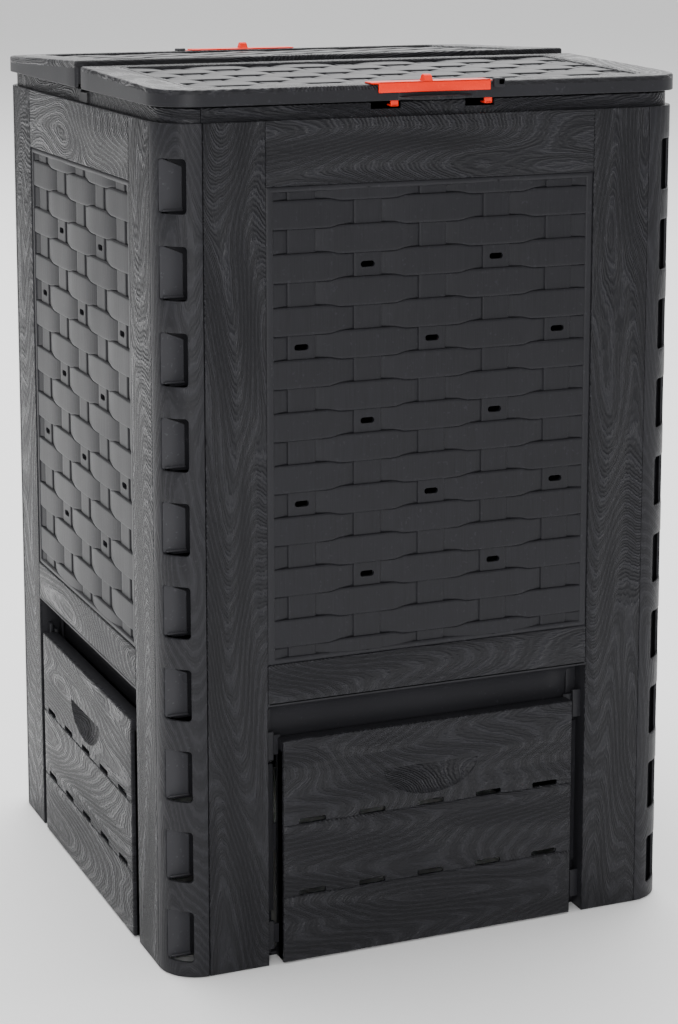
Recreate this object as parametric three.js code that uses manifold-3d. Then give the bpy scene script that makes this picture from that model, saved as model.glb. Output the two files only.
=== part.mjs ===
// A square garden compost bin: four interlocking side panels, a lift-out hatch at the foot of each,
// and a two-part gabled lid whose halves hinge on one cross beam and are held by sliding latches.
// Millimetres, +Z up, the ground at z = 0, the front of the bin towards -Y.
import * as THREE from "three";
import { mergeVertices } from "three/addons/utils/BufferGeometryUtils.js";
import Module from "manifold-3d";

// ---- Driving dimensions -------------------------------------------------------------------------
const BIN_WIDTH = 600; // outside width of the square body
const PANEL_HEIGHT = 910; // ground to the ledge under the top band
const CORNER_RADIUS = 43; // outside radius of the rounded corners
const WALL = 3; // moulded wall
const SEAM_GAP = 1.6; // groove between a panel's end and its neighbour's wrap

const BAND_INSET = 5.5; // the top band stands in from the panel face
const BAND_HEIGHT = 14.5;
const LID_GAP = 1.8; // shadow gap between the band and the lid skirt
const LID_OVERHANG = 2.5;
const LID_EDGE_HEIGHT = 17.2; // skirt at the outer edges
const FRONT_LID_RISE = 7.5; // how much the gable rises from the outer edge to the seam
const REAR_LID_RISE = 12.5;
const SEAM_FRONT = -28; // y of the front lid's seam edge
const SEAM_REAR = -10; // y of the rear lid's seam edge

const POST_WIDTH = 67.6; // each of the two upright posts of a panel
const TOP_RAIL = 68;
const BOTTOM_RAIL = 45;
const HATCH_OPENING_HEIGHT = 290; // ground to the underside of the bottom rail
const INFILL_DEPTH = 5; // the woven infill lies this far behind the posts
const INFILL_WALL = 3;

const WINDOW_COUNT = 10; // openings up each corner
const WINDOW_PITCH = 89;
const WINDOW_HEIGHT = 56;
const WINDOW_TOP_DROP = 36; // panel top to the first window's top
const WINDOW_START_DEG = 24; // round the corner, from the panel's own face
const WINDOW_END_DEG = 67;
const TAB_REACH = 25; // locking tab behind each window
const TAB_FOOT_GAP = 1; // daylight under a tab
const TAB_SLANT = 9; // how much lower its free end is at the top
const TAB_LEDGE = { reach: 2.6, height: 2.6 }; // ledge along a tab's foot
const HOOK_CLEARANCE = 0.8;
const HOOK_REACH = 29;
const HOOK_INSET = 12; // a hook is this much shorter than its window, above and below

const VENT_LENGTH = 16;
const VENT_HEIGHT = 6.5;
const VENT_STEP_X = 74.6; // pitch of the woven uprights
const VENT_ROWS = 5;
const VENT_ROW_PITCH = 83.4;
const VENT_TOP_DROP = 85.5; // top of the infill to the first row of vents

const HATCH_HEIGHT = 250;
const HATCH_SIDE_GAP = 16.4; // daylight between a post and the hatch
const HATCH_PROUD = 1.5;
const HATCH_FOOT = 1; // gap under a shut hatch
const HATCH_LEDGE = 18;
const HATCH_RETURN_DEPTH = 24; // depth of its side walls
const HATCH_TOP_RELIEF = 12; // the side walls are shallower this far down from the top
const COVE_DEPTH = 28;
const COVE_LIP = 10; // the cove runs down behind the hatch's top edge
const SILL_DEPTH = 12;
const SILL_HEIGHT = 4;
const HATCH_GROOVES = [155, 74.5]; // heights of the grooves between its three boards
const GROOVE_HALF_WIDTH = 1.5;
const GROOVE_DEPTH = 1.2;
const SLOT_COUNT = 5;
const SLOT_PITCH = 69.8;
const SLOT_LENGTH = 31;
const SLOT_HEIGHT = 6;
const GRIP_WIDTH = 112;
const GRIP_HEIGHT = 34;
const GRIP_DEPTH = 15;
const GRIP_TOP_DROP = 47.5;

const KEEPER_HEIGHT = 32; // jamb keepers that hold the hatch's lugs
const KEEPER_FEET = [13.5, 226.5];
const KEEPER_DEPTH = 10; // behind the panel face
const KEEPER_THICKNESS = 4;
const KEEPER_REACH = 10; // out from the jamb, less than the side gap
const LUG_HEIGHT = 22;
const LUG_RISE = 4.5; // a lug starts this far above its keeper's foot
const LUG_SIDE_CLEARANCE = 4.4; // lug to the jamb's wall
const LUG_THICKNESS = 3;
const LUG_CLEARANCE = 0.5;
const STOP_FLANGE_DEPTH = 24; // jamb flange behind the hatch
const STRIP_REACH = 13; // how far the strip beside the hatch stands out from the jamb
const STRIP_GAP = 7.5; // open stretch of that strip at each keeper
const STOP_PAD = { foot: 120, top: 150, reach: 5 }; // pad behind the hatch's side wall

const BEAM_WIDTH = 29;
const BEAM_DEPTH = 29.5;
const BEAM_TOP_GAP = 4.8; // lid skirt to the beam's top
const HINGE_PLACES = [-215, 0, 215];
const FRONT_AXIS = { inset: 10, drop: 13 }; // from the lid's seam edge, top of the seam
const REAR_AXIS = { inset: 10, drop: 16 };
const PIN_RADIUS = 4;
const PIN_CLEARANCE = 0.3;
const PIN_HEAD_RADIUS = 6;
const PIN_HEAD = 2.5;
const KNUCKLE_RADIUS = 7;
const BEAM_KNUCKLE = 6; // thickness of the beam's knuckle
const LID_KNUCKLE = 5;
const KNUCKLE_GAP = 1;
const KNUCKLE_WEB_DROP = 8; // the beam's knuckle webs start this far above its lower edge

const LATCH_LEFT = -74;
const LATCH_LENGTH = 136;
const LATCH_WALL = 2.5;
const LATCH_TOP_DEPTH = 20;
const LATCH_FRONT_HEIGHT = 12;
const LATCH_GAP = 0.5;
const LATCH_FEET = [-45, 63]; // x of the two feet at rest
const LATCH_FOOT_WIDTH = 11;
const LATCH_TRAVEL = 19;
const LATCH_NOSE = 3;
const FIN_X = -9;
const FIN_WIDTH = 9;
const FIN_HEIGHT = 7;
const FIN_DEPTH = 16;
const FIN_CROWN = 5; // radius of its top
const FIN_FLARE = 3; // its foot spreads by this much
const SEAM_FOOT_RISE = 4; // the wall under the seam is this much shorter, to swing clear of the band
const FINGER_LIP_WIDTH = 86;
const FINGER_LIP_REACH = 10;
const FINGER_LIP_THICKNESS = 4.5;
const STOP_BUMP = { gap: 4, width: 13, back: 12, drop: 7, rise: 3 }; // end stop beside the latch

const FOOT_NOTCH_CLEARANCE = 3; // band notch beyond a foot at rest
const FOOT_NOTCH_END = 1; // and beyond the same foot when latched
const FOOT_NOTCH_DEPTH = 7;
const KEEPER_LIP = { reach: 5, gap: 2, thickness: 2.7 }; // ledge in the band that a foot slides under
const LATCH_LIFT = 0.4; // daylight between the latch and the lid's top, over LATCH_GAP
const LEG_WALL_GAP = 0.6; // leg to the lid's wall
const LEG_CLEARANCE = 0.9; // leg to the band
const NOSE_DROP = 6.2; // top of the band to the nose's underside
const LEG_SLOT_CLEARANCE = 1; // lid slot beyond each side of a leg
const LEG_SLOT_DEPTH = 5;
const LEG_SLOT_DROP = 8;

const BEAM_END_REACH = 2; // the beam's ends stand this far past the band's face
const BEAM_SHOULDER = 8; // its channel stops this far short of the wall
const BEAM_NOTCH_CLEARANCE = 0.6;
const BEAM_SEAT = 0.9; // its ends rest this far above the ledge
const KNUCKLE_SHOULDER = 2; // the webs stand this far above the beam

const FOOT_FLANGE = 9; // width of the flange that the panel stands on
const OVERLAP = 0.5; // how far joined shapes run into each other

// ---- Places worked out from the driving dimensions ----------------------------------------------
const A = BIN_WIDTH / 2; // a panel's outer face lies at y = -A
const Q = A - CORNER_RADIUS; // where the rounded corner starts
const P = Q - POST_WIDTH; // inner edges of the posts
const END_GAP = SEAM_GAP / 2;
const HATCH_HALF_WIDTH = P - HATCH_SIDE_GAP;
const BAND_TOP = PANEL_HEIGHT + BAND_HEIGHT;
const INFILL_TOP = PANEL_HEIGHT - TOP_RAIL;
const INFILL_FOOT = HATCH_OPENING_HEIGHT + BOTTOM_RAIL;
const LID_FOOT = BAND_TOP + LID_GAP;
const LID_EDGE_TOP = LID_FOOT + LID_EDGE_HEIGHT;
const LID_HALF = A + LID_OVERHANG;
const FRONT_SEAM_TOP = LID_EDGE_TOP + FRONT_LID_RISE;
const REAR_SEAM_TOP = LID_EDGE_TOP + REAR_LID_RISE;
const BEAM_TOP = LID_FOOT - BEAM_TOP_GAP;
const BEAM_Y = (SEAM_FRONT + SEAM_REAR) / 2;
const BAND_BACK = A - BAND_INSET - WALL; // inner face of the band, from the bin's middle
const HOOK_FACE = Q + CORNER_RADIUS * Math.sin(THREE.MathUtils.degToRad(WINDOW_START_DEG));

const wasm = await Module();
wasm.setup();

// ---- Small tools --------------------------------------------------------------------------------
// A closed three.js geometry as a manifold-3d solid.
function solid(geometry) {
  const bare = geometry.clone();
  bare.deleteAttribute("normal");
  bare.deleteAttribute("uv");
  const merged = mergeVertices(bare, 1e-4);
  return new wasm.Manifold(
    new wasm.Mesh({
      numProp: 3,
      vertProperties: merged.attributes.position.array,
      triVerts: new Uint32Array(merged.index.array),
    }),
  );
}

const join = (pieces) => pieces.reduce((whole, piece) => whole.add(piece));
const cut = (body, tools) => tools.reduce((rest, tool) => rest.subtract(tool), body);

// A block between two corners, given in any order.
function block(x0, x1, y0, y1, z0, z1) {
  const size = [x1 - x0, y1 - y0, z1 - z0].map(Math.abs);
  const box = new THREE.BoxGeometry(...size);
  return solid(box.translate((x0 + x1) / 2, (y0 + y1) / 2, (z0 + z1) / 2));
}

// An outline of [u, v] points swept straight along one axis: u, v are x, y for Z; y, z for X; x, z for Y.
function prism(points, axis, from, to) {
  const shape = new THREE.Shape(points.map(([u, v]) => new THREE.Vector2(u, v)));
  const swept = new THREE.ExtrudeGeometry(shape, { depth: to - from, bevelEnabled: false });
  const [X, Y, Z] = [new THREE.Vector3(1, 0, 0), new THREE.Vector3(0, 1, 0), new THREE.Vector3(0, 0, 1)];
  if (axis === "Z") return solid(swept.translate(0, 0, from));
  if (axis === "X") {
    const turn = new THREE.Matrix4().makeBasis(Y, Z, X);
    return solid(swept.applyMatrix4(turn).translate(from, 0, 0));
  }
  const turn = new THREE.Matrix4().makeBasis(X, Z, Y.clone().negate());
  return solid(swept.applyMatrix4(turn).translate(0, to, 0));
}

// Points on an arc, angles in degrees.
function arc(cx, cy, radius, fromDeg, toDeg, steps) {
  return Array.from({ length: steps + 1 }, (_, i) => {
    const angle = THREE.MathUtils.degToRad(fromDeg + ((toDeg - fromDeg) * i) / steps);
    return [cx + radius * Math.cos(angle), cy + radius * Math.sin(angle)];
  });
}

// A round bar along X.
function rod(x0, x1, y, z, radius, sides = 12) {
  return prism(arc(y, z, radius, 0, 360 - 360 / sides, sides - 1), "X", x0, x1);
}

// A solid as a named mesh.
function part(name, manifold, material) {
  const { vertProperties, triVerts, numProp } = manifold.getMesh();
  const count = vertProperties.length / numProp;
  const positions = new Float32Array(count * 3);
  for (let i = 0; i < count; i++)
    positions.set(vertProperties.subarray(i * numProp, i * numProp + 3), i * 3);
  const geometry = new THREE.BufferGeometry();
  geometry.setAttribute("position", new THREE.BufferAttribute(positions, 3));
  geometry.setIndex(new THREE.BufferAttribute(new Uint32Array(triVerts), 1));
  geometry.computeVertexNormals();
  const mesh = new THREE.Mesh(geometry, material);
  mesh.name = name;
  return mesh;
}

// ---- Side panel ---------------------------------------------------------------------------------
// Every panel is drawn as the front one: its face at y = -A, its right end wrapping round the corner.

// The panel's plan outline between two heights: a straight run and the rounded corner, `inset` behind
// the outer face and `thickness` deep.
function wallSkin(z0, z1, inset, thickness) {
  const outer = CORNER_RADIUS - inset;
  const inner = outer - thickness;
  const endOf = (radius) => -THREE.MathUtils.radToDeg(Math.asin(END_GAP / radius));
  const outline = [
    [-Q + END_GAP, -Q - outer],
    ...arc(Q, -Q, outer, -90, endOf(outer), 7),
    ...arc(Q, -Q, inner, endOf(inner), -90, 7),
    [-Q + END_GAP, -Q - inner],
  ];
  return prism(outline, "Z", z0, z1);
}

// Top and foot of each corner window.
const windows = Array.from({ length: WINDOW_COUNT }, (_, i) => {
  const top = PANEL_HEIGHT - WINDOW_TOP_DROP - i * WINDOW_PITCH;
  return { top, foot: top - WINDOW_HEIGHT };
});

// The cutter for one window: a slice of ring through the corner wall.
function windowCutter({ top, foot }) {
  const from = WINDOW_START_DEG - 90;
  const to = WINDOW_END_DEG - 90;
  const outline = [
    ...arc(Q, -Q, CORNER_RADIUS + WALL, from, to, 2),
    ...arc(Q, -Q, CORNER_RADIUS - 2 * WALL, to, from, 2),
  ];
  return prism(outline, "Z", foot, top);
}

// The locking tab behind a window, parallel to the neighbouring face.
function windowTab({ top, foot }) {
  const start = -Q - Math.sqrt(CORNER_RADIUS ** 2 - (HOOK_FACE - Q) ** 2) + 1;
  const end = start + TAB_REACH;
  const low = foot + TAB_FOOT_GAP;
  const plate = [[start, low], [end, low], [end, top - TAB_SLANT], [start, top + TAB_FOOT_GAP]];
  const { reach, height } = TAB_LEDGE;
  return join([
    prism(plate, "X", HOOK_FACE - WALL, HOOK_FACE),
    block(HOOK_FACE - OVERLAP, HOOK_FACE + reach, start + WALL, end, low, low + height),
  ]);
}

// The hook at a panel's left edge, which reaches behind its neighbour's tab.
function hook({ top, foot }) {
  const face = -HOOK_FACE + WALL + HOOK_CLEARANCE;
  const root = -Q + END_GAP + OVERLAP;
  return block(root - HOOK_REACH, root, face, face + WALL, foot + HOOK_INSET, top - HOOK_INSET);
}

// A vent: a slot with rounded ends, cut through the infill.
function ventCutter(x, z) {
  const r = VENT_HEIGHT / 2;
  const half = VENT_LENGTH / 2 - r;
  const outline = [...arc(x + half, z, r, -90, 90, 3), ...arc(x - half, z, r, 90, 270, 3)];
  return prism(outline, "Y", -A, -A + INFILL_DEPTH + 2 * INFILL_WALL);
}

// Vents sit on the woven uprights: two in the odd rows and three in the even ones.
function ventCutters() {
  const cutters = [];
  for (let row = 0; row < VENT_ROWS; row++) {
    const z = INFILL_TOP - VENT_TOP_DROP - row * VENT_ROW_PITCH;
    const columns = row % 2 ? [-2, 0, 2] : [-1, 1];
    for (const column of columns) cutters.push(ventCutter(column * VENT_STEP_X, z));
  }
  return cutters;
}

// The smooth cove above the hatch: a quarter of a rounded square in section, with a lip below.
function cove() {
  const rise = HATCH_OPENING_HEIGHT - HATCH_HEIGHT;
  const steps = 7;
  const curve = (depth, height) =>
    Array.from({ length: steps + 1 }, (_, i) => {
      const t = (i / steps) * (Math.PI / 2);
      return [-A + depth * Math.sin(t) ** (2 / 3), HATCH_HEIGHT + height * Math.cos(t) ** (2 / 3)];
    });
  const outer = curve(COVE_DEPTH, rise);
  const inner = curve(COVE_DEPTH + WALL, rise + WALL).reverse();
  const outline = [
    ...outer,
    [-A + COVE_DEPTH, HATCH_HEIGHT - COVE_LIP],
    [-A + COVE_DEPTH + WALL, HATCH_HEIGHT - COVE_LIP],
    ...inner,
  ];
  return prism(outline, "X", -P - OVERLAP, P + OVERLAP);
}

// The jamb on one side of the hatch: its return wall, the keepers and the flange behind the hatch.
function jamb(side) {
  const bar = (reach, depth0, depth1, z0, z1) =>
    block(side * (P - reach), side * (P + OVERLAP), -A + depth0, -A + depth1, z0, z1);
  const flangeBack = STOP_FLANGE_DEPTH + WALL;
  const wall = block(
    side * P,
    side * (P + WALL),
    -A + WALL - OVERLAP,
    -A + COVE_DEPTH + WALL,
    0,
    HATCH_OPENING_HEIGHT + WALL,
  );
  const [lowKeeper, highKeeper] = KEEPER_FEET;
  const strip = (z0, z1) =>
    bar(STRIP_REACH, STOP_FLANGE_DEPTH - WALL, STOP_FLANGE_DEPTH + OVERLAP, z0, z1);
  return join([
    wall,
    bar(STRIP_REACH - WALL / 2, STOP_FLANGE_DEPTH, flangeBack, 0, HATCH_OPENING_HEIGHT - WALL),
    strip(lowKeeper + KEEPER_HEIGHT + STRIP_GAP, highKeeper - STRIP_GAP),
    bar(HATCH_SIDE_GAP + STOP_PAD.reach, STOP_FLANGE_DEPTH, flangeBack, STOP_PAD.foot, STOP_PAD.top),
    ...KEEPER_FEET.map((foot) =>
      bar(KEEPER_REACH, KEEPER_DEPTH, KEEPER_DEPTH + KEEPER_THICKNESS, foot, foot + KEEPER_HEIGHT),
    ),
  ]);
}

// Notches in the top band for the latch's feet, and the keeper lip that each foot slides under.
const footNotchLeft = (x) => x - LATCH_FOOT_WIDTH / 2 - LATCH_TRAVEL - FOOT_NOTCH_END;

function latchNotches() {
  return LATCH_FEET.map((x) => {
    const right = x + LATCH_FOOT_WIDTH / 2 + FOOT_NOTCH_CLEARANCE;
    return block(footNotchLeft(x), right, -A, -BAND_BACK + 1, BAND_TOP - FOOT_NOTCH_DEPTH, BAND_TOP + 1);
  });
}

function latchKeeper(x) {
  const { reach, gap, thickness } = KEEPER_LIP;
  const left = footNotchLeft(x) - reach;
  const right = x - LATCH_FOOT_WIDTH / 2 - gap;
  return block(left, right, -BAND_BACK - OVERLAP, -BAND_BACK + reach, BAND_TOP - thickness, BAND_TOP);
}

// The notch in a side panel's band where the hinge beam's end drops in.
function beamNotch(sign) {
  const middle = sign * BEAM_Y;
  const half = BEAM_WIDTH / 2 + BEAM_NOTCH_CLEARANCE;
  const floor = PANEL_HEIGHT + BEAM_SEAT / 2;
  return block(middle - half, middle + half, -A, -BAND_BACK + 1, floor, BAND_TOP + 1);
}

function sidePanel(kind) {
  const opening = block(-P, P, -A - 1, -A + WALL + 1, INFILL_FOOT, INFILL_TOP);
  const hatchway = block(-P, P, -A - 1, -A + WALL + FOOT_FLANGE + 1, -1, HATCH_OPENING_HEIGHT);
  const shell = cut(
    join([
      wallSkin(0, PANEL_HEIGHT, 0, WALL),
      wallSkin(0, WALL, WALL - OVERLAP, FOOT_FLANGE),
      wallSkin(PANEL_HEIGHT - WALL, PANEL_HEIGHT, WALL - OVERLAP, BAND_INSET),
      wallSkin(PANEL_HEIGHT - WALL, BAND_TOP, BAND_INSET, WALL),
    ]),
    [opening, hatchway, ...windows.map(windowCutter)],
  );
  const infill = cut(
    block(
      -P - WALL,
      P + WALL,
      -A + WALL - OVERLAP,
      -A + INFILL_DEPTH + INFILL_WALL,
      INFILL_FOOT - WALL,
      INFILL_TOP + WALL,
    ),
    [block(-P, P, -A, -A + INFILL_DEPTH, INFILL_FOOT, INFILL_TOP), ...ventCutters()],
  );
  const hookFlange = block(
    -Q + END_GAP,
    -Q + END_GAP + WALL,
    -A + WALL - OVERLAP,
    -HOOK_FACE + WALL + HOOK_CLEARANCE + 2 * WALL,
    0,
    PANEL_HEIGHT - WALL + OVERLAP,
  );
  const wrapReturn = block(
    A - 3 * WALL,
    A - WALL + OVERLAP,
    -Q - END_GAP - WALL,
    -Q - END_GAP,
    0,
    PANEL_HEIGHT - WALL + OVERLAP,
  );
  const sillFront = -A + STOP_FLANGE_DEPTH;
  const sill = block(-P - OVERLAP, P + OVERLAP, sillFront, sillFront + SILL_DEPTH, 0, SILL_HEIGHT);
  const pieces = [shell, infill, hookFlange, wrapReturn, sill, cove(), jamb(-1), jamb(1)];
  pieces.push(...windows.map(windowTab), ...windows.map(hook));
  if (kind === "latched") return cut(join(pieces), latchNotches()).add(join(LATCH_FEET.map(latchKeeper)));
  return cut(join(pieces), [beamNotch(kind === "beam_left" ? -1 : 1)]);
}

// ---- Hatch --------------------------------------------------------------------------------------
// Half-moon outline of the finger grip, with its straight edge on top, grown by `margin`.
function gripOutline(margin) {
  const top = HATCH_HEIGHT - GRIP_TOP_DROP;
  const steps = 12;
  return Array.from({ length: steps + 1 }, (_, i) => {
    const t = Math.PI + (Math.PI * i) / steps;
    const x = (GRIP_WIDTH / 2 + margin) * Math.cos(t);
    const z = top + margin + (GRIP_HEIGHT + 2 * margin) * Math.sin(t);
    return [x, z];
  });
}

// The grip's floor slopes in from its lower edge, so a finger pulls against the upper edge.
function gripWedge(margin, front) {
  const top = HATCH_HEIGHT - GRIP_TOP_DROP;
  const slope = prism(
    [
      [front, top - GRIP_HEIGHT - margin],
      [front + GRIP_DEPTH + margin, top + margin],
      [front, top + margin],
    ],
    "X",
    -GRIP_WIDTH,
    GRIP_WIDTH,
  );
  return prism(gripOutline(margin), "Y", front, front + GRIP_DEPTH + margin + 1).intersect(slope);
}

function hatchSlots() {
  const cutters = [];
  for (const groove of HATCH_GROOVES)
    for (let i = 0; i < SLOT_COUNT; i++) {
      const x = (i - (SLOT_COUNT - 1) / 2) * SLOT_PITCH;
      const half = SLOT_LENGTH / 2;
      const foot = groove + OVERLAP;
      cutters.push(block(x - half, x + half, -A - 2 * WALL, -A + 2 * WALL, foot, foot + SLOT_HEIGHT));
    }
  return cutters;
}

function hatch() {
  const face = -A - HATCH_PROUD;
  const foot = HATCH_FOOT;
  const w = HATCH_HALF_WIDTH;
  const grooves = HATCH_GROOVES.map((z) =>
    prism(
      [
        [face - GROOVE_DEPTH, z + 2 * GROOVE_HALF_WIDTH],
        [face - GROOVE_DEPTH, z - 2 * GROOVE_HALF_WIDTH],
        [face + GROOVE_DEPTH, z],
      ],
      "X",
      -w - 1,
      w + 1,
    ),
  );
  const front = block(-w, w, face, face + WALL, foot, HATCH_HEIGHT);
  const ledge = (z) => block(-w, w, face + WALL - OVERLAP, face + HATCH_LEDGE, z, z + WALL);
  const lugFront = -A + KEEPER_DEPTH + KEEPER_THICKNESS + LUG_CLEARANCE;
  const sides = [-1, 1].flatMap((side) => [
    block(
      side * (w - WALL),
      side * w,
      face + WALL - OVERLAP,
      face + HATCH_RETURN_DEPTH,
      foot,
      HATCH_HEIGHT - HATCH_TOP_RELIEF,
    ),
    block(side * (w - WALL), side * w, face + WALL - OVERLAP, face + HATCH_LEDGE, foot, HATCH_HEIGHT),
    ...KEEPER_FEET.map((keeper) =>
      block(
        side * (w - WALL),
        side * (P - LUG_SIDE_CLEARANCE),
        lugFront,
        lugFront + LUG_THICKNESS,
        keeper + LUG_RISE,
        keeper + LUG_RISE + LUG_HEIGHT,
      ),
    ),
  ]);
  const bowl = gripWedge(WALL, face + OVERLAP);
  const shell = join([front, ledge(foot), ledge(HATCH_HEIGHT - WALL), ...sides, bowl]);
  return cut(shell, [gripWedge(0, face - 0.01), ...grooves, ...hatchSlots()]);
}

// ---- Lid halves ---------------------------------------------------------------------------------
// Both are drawn opening towards -Y; the rear one is drawn as seen from behind and turned half round.
function lidOutline(seam, inset) {
  const half = LID_HALF - inset;
  const radius = CORNER_RADIUS + LID_OVERHANG - inset;
  return [
    [-half, seam - inset],
    ...arc(-half + radius, -half + radius, radius, 180, 270, 6),
    ...arc(half - radius, -half + radius, radius, 270, 360, 6),
    [half, seam - inset],
  ];
}

// Everything above the gabled top, lowered by `drop`.
function aboveGable(seam, seamTop, drop) {
  const slope = (seamTop - LID_EDGE_TOP) / (seam + LID_HALF);
  const heightAt = (y) => LID_EDGE_TOP + slope * (y + LID_HALF) - drop;
  const outline = [
    [-LID_HALF - 20, heightAt(-LID_HALF - 20)],
    [seam + 20, heightAt(seam + 20)],
    [seam + 20, seamTop + 60],
    [-LID_HALF - 20, seamTop + 60],
  ];
  return prism(outline, "X", -LID_HALF - 1, LID_HALF + 1);
}

// The crescent under the latch that a finger lifts the lid by.
function fingerLip(seam) {
  const half = FINGER_LIP_WIDTH / 2;
  const radius = (half ** 2 + FINGER_LIP_REACH ** 2) / (2 * FINGER_LIP_REACH);
  const spread = THREE.MathUtils.radToDeg(Math.asin(half / radius));
  const centre = -LID_HALF - FINGER_LIP_REACH + radius;
  const crescent = arc(0, centre, radius, 270 - spread, 270 + spread, 8);
  const root = -LID_HALF + OVERLAP;
  const outline = [...crescent, [half, root], [-half, root]];
  return prism(outline, "Z", LID_FOOT, LID_FOOT + FINGER_LIP_THICKNESS);
}

// Where each knuckle on a lid stands, either side of the beam's own knuckle.
function knucklePlaces() {
  const reach = BEAM_KNUCKLE / 2 + KNUCKLE_GAP;
  return HINGE_PLACES.flatMap((x) => [
    [x - reach - LID_KNUCKLE, x - reach],
    [x + reach, x + reach + LID_KNUCKLE],
  ]);
}

// A knuckle: a rounded plate round the pin, carried up or down by a web.
function knuckle(x0, x1, axisY, axisZ, webY0, webY1, webZ0, webZ1) {
  return join([rod(x0, x1, axisY, axisZ, KNUCKLE_RADIUS), block(x0, x1, webY0, webY1, webZ0, webZ1)]);
}

function lidHalf(seam, seamTop, axis) {
  const axisY = seam - axis.inset;
  const axisZ = seamTop - axis.drop;
  const outer = prism(lidOutline(seam, 0), "Z", LID_FOOT, seamTop + 10).subtract(
    aboveGable(seam, seamTop, 0),
  );
  const inner = prism(lidOutline(seam, WALL), "Z", LID_FOOT - 1, seamTop + 10).subtract(
    aboveGable(seam, seamTop, WALL),
  );
  const beamSlots = HINGE_PLACES.map((x) => {
    const half = BEAM_KNUCKLE / 2 + KNUCKLE_GAP;
    return block(x - half, x + half, seam - WALL - 1, seam + 1, LID_FOOT - 1, axisZ + KNUCKLE_RADIUS + 1);
  });
  const insideWidth = LID_HALF - WALL;
  const seamRelief = block(
    -insideWidth,
    insideWidth,
    seam - WALL - 1,
    seam + 1,
    LID_FOOT - 1,
    LID_FOOT + SEAM_FOOT_RISE,
  );
  const slotFront = -LID_HALF + WALL;
  const latchSlots = LATCH_FEET.map((x) => {
    const half = LATCH_FOOT_WIDTH / 2 + LEG_SLOT_CLEARANCE;
    const slotBack = slotFront + LEG_SLOT_DEPTH;
    const slotFoot = LID_EDGE_TOP - LEG_SLOT_DROP;
    return block(x - half - LATCH_TRAVEL, x + half, slotFront, slotBack, slotFoot, seamTop + 10);
  });
  const knuckles = knucklePlaces().map(([x0, x1]) =>
    knuckle(x0, x1, axisY, axisZ, axisY, seam - WALL + OVERLAP, axisZ - 4, seamTop - WALL),
  );
  const bumpLeft = LATCH_LEFT + LATCH_LENGTH + STOP_BUMP.gap;
  const stopBump = block(
    bumpLeft,
    bumpLeft + STOP_BUMP.width,
    -LID_HALF - LATCH_GAP - LATCH_WALL,
    -LID_HALF + STOP_BUMP.back,
    LID_EDGE_TOP - STOP_BUMP.drop,
    LID_EDGE_TOP + STOP_BUMP.rise,
  );
  const shell = join([outer.subtract(inner), ...knuckles, stopBump, fingerLip(seam)]);
  const bore = rod(-LID_HALF + 10, LID_HALF - 10, axisY, axisZ, PIN_RADIUS + PIN_CLEARANCE);
  return cut(shell, [bore, seamRelief, ...beamSlots, ...latchSlots]);
}

// ---- Latch --------------------------------------------------------------------------------------
function latch() {
  const right = LATCH_LEFT + LATCH_LENGTH;
  const face = -LID_HALF - LATCH_GAP - LATCH_WALL;
  const underside = LID_EDGE_TOP + LATCH_GAP + LATCH_LIFT;
  const top = underside + LATCH_WALL;
  const legBack = -A + BAND_INSET - LEG_CLEARANCE;
  const legFront = -LID_HALF + WALL + LEG_WALL_GAP;
  const noseBack = -BAND_BACK + KEEPER_LIP.reach;
  const noseFoot = BAND_TOP - NOSE_DROP;
  const feet = LATCH_FEET.flatMap((x) => {
    const half = LATCH_FOOT_WIDTH / 2;
    return [
      block(x - half, x + half, legFront, legBack, noseFoot, underside + OVERLAP),
      block(x - half, x + half, legFront, noseBack, noseFoot, noseFoot + LATCH_NOSE),
    ];
  });
  const crown = arc(face + FIN_DEPTH / 2, top + FIN_HEIGHT - FIN_CROWN, FIN_CROWN, 30, 150, 4);
  const fin = [
    [face + FIN_DEPTH, top - 1],
    [face + FIN_DEPTH - FIN_FLARE, top + FIN_FLARE],
    ...crown,
    [face, top - 1],
  ];
  return join([
    block(LATCH_LEFT, right, face, face + LATCH_TOP_DEPTH, underside, top),
    block(LATCH_LEFT, right, face, face + LATCH_WALL, top - LATCH_FRONT_HEIGHT, top),
    prism(fin, "X", FIN_X - FIN_WIDTH / 2, FIN_X + FIN_WIDTH / 2),
    ...feet,
  ]);
}

// ---- Hinge beam and pins ------------------------------------------------------------------------
// The rear lid is drawn turned half round, so its axis is mirrored back into the bin's frame here.
const frontAxis = { y: SEAM_FRONT - FRONT_AXIS.inset, z: FRONT_SEAM_TOP - FRONT_AXIS.drop };
const rearAxis = { y: SEAM_REAR + REAR_AXIS.inset, z: REAR_SEAM_TOP - REAR_AXIS.drop };

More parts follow.
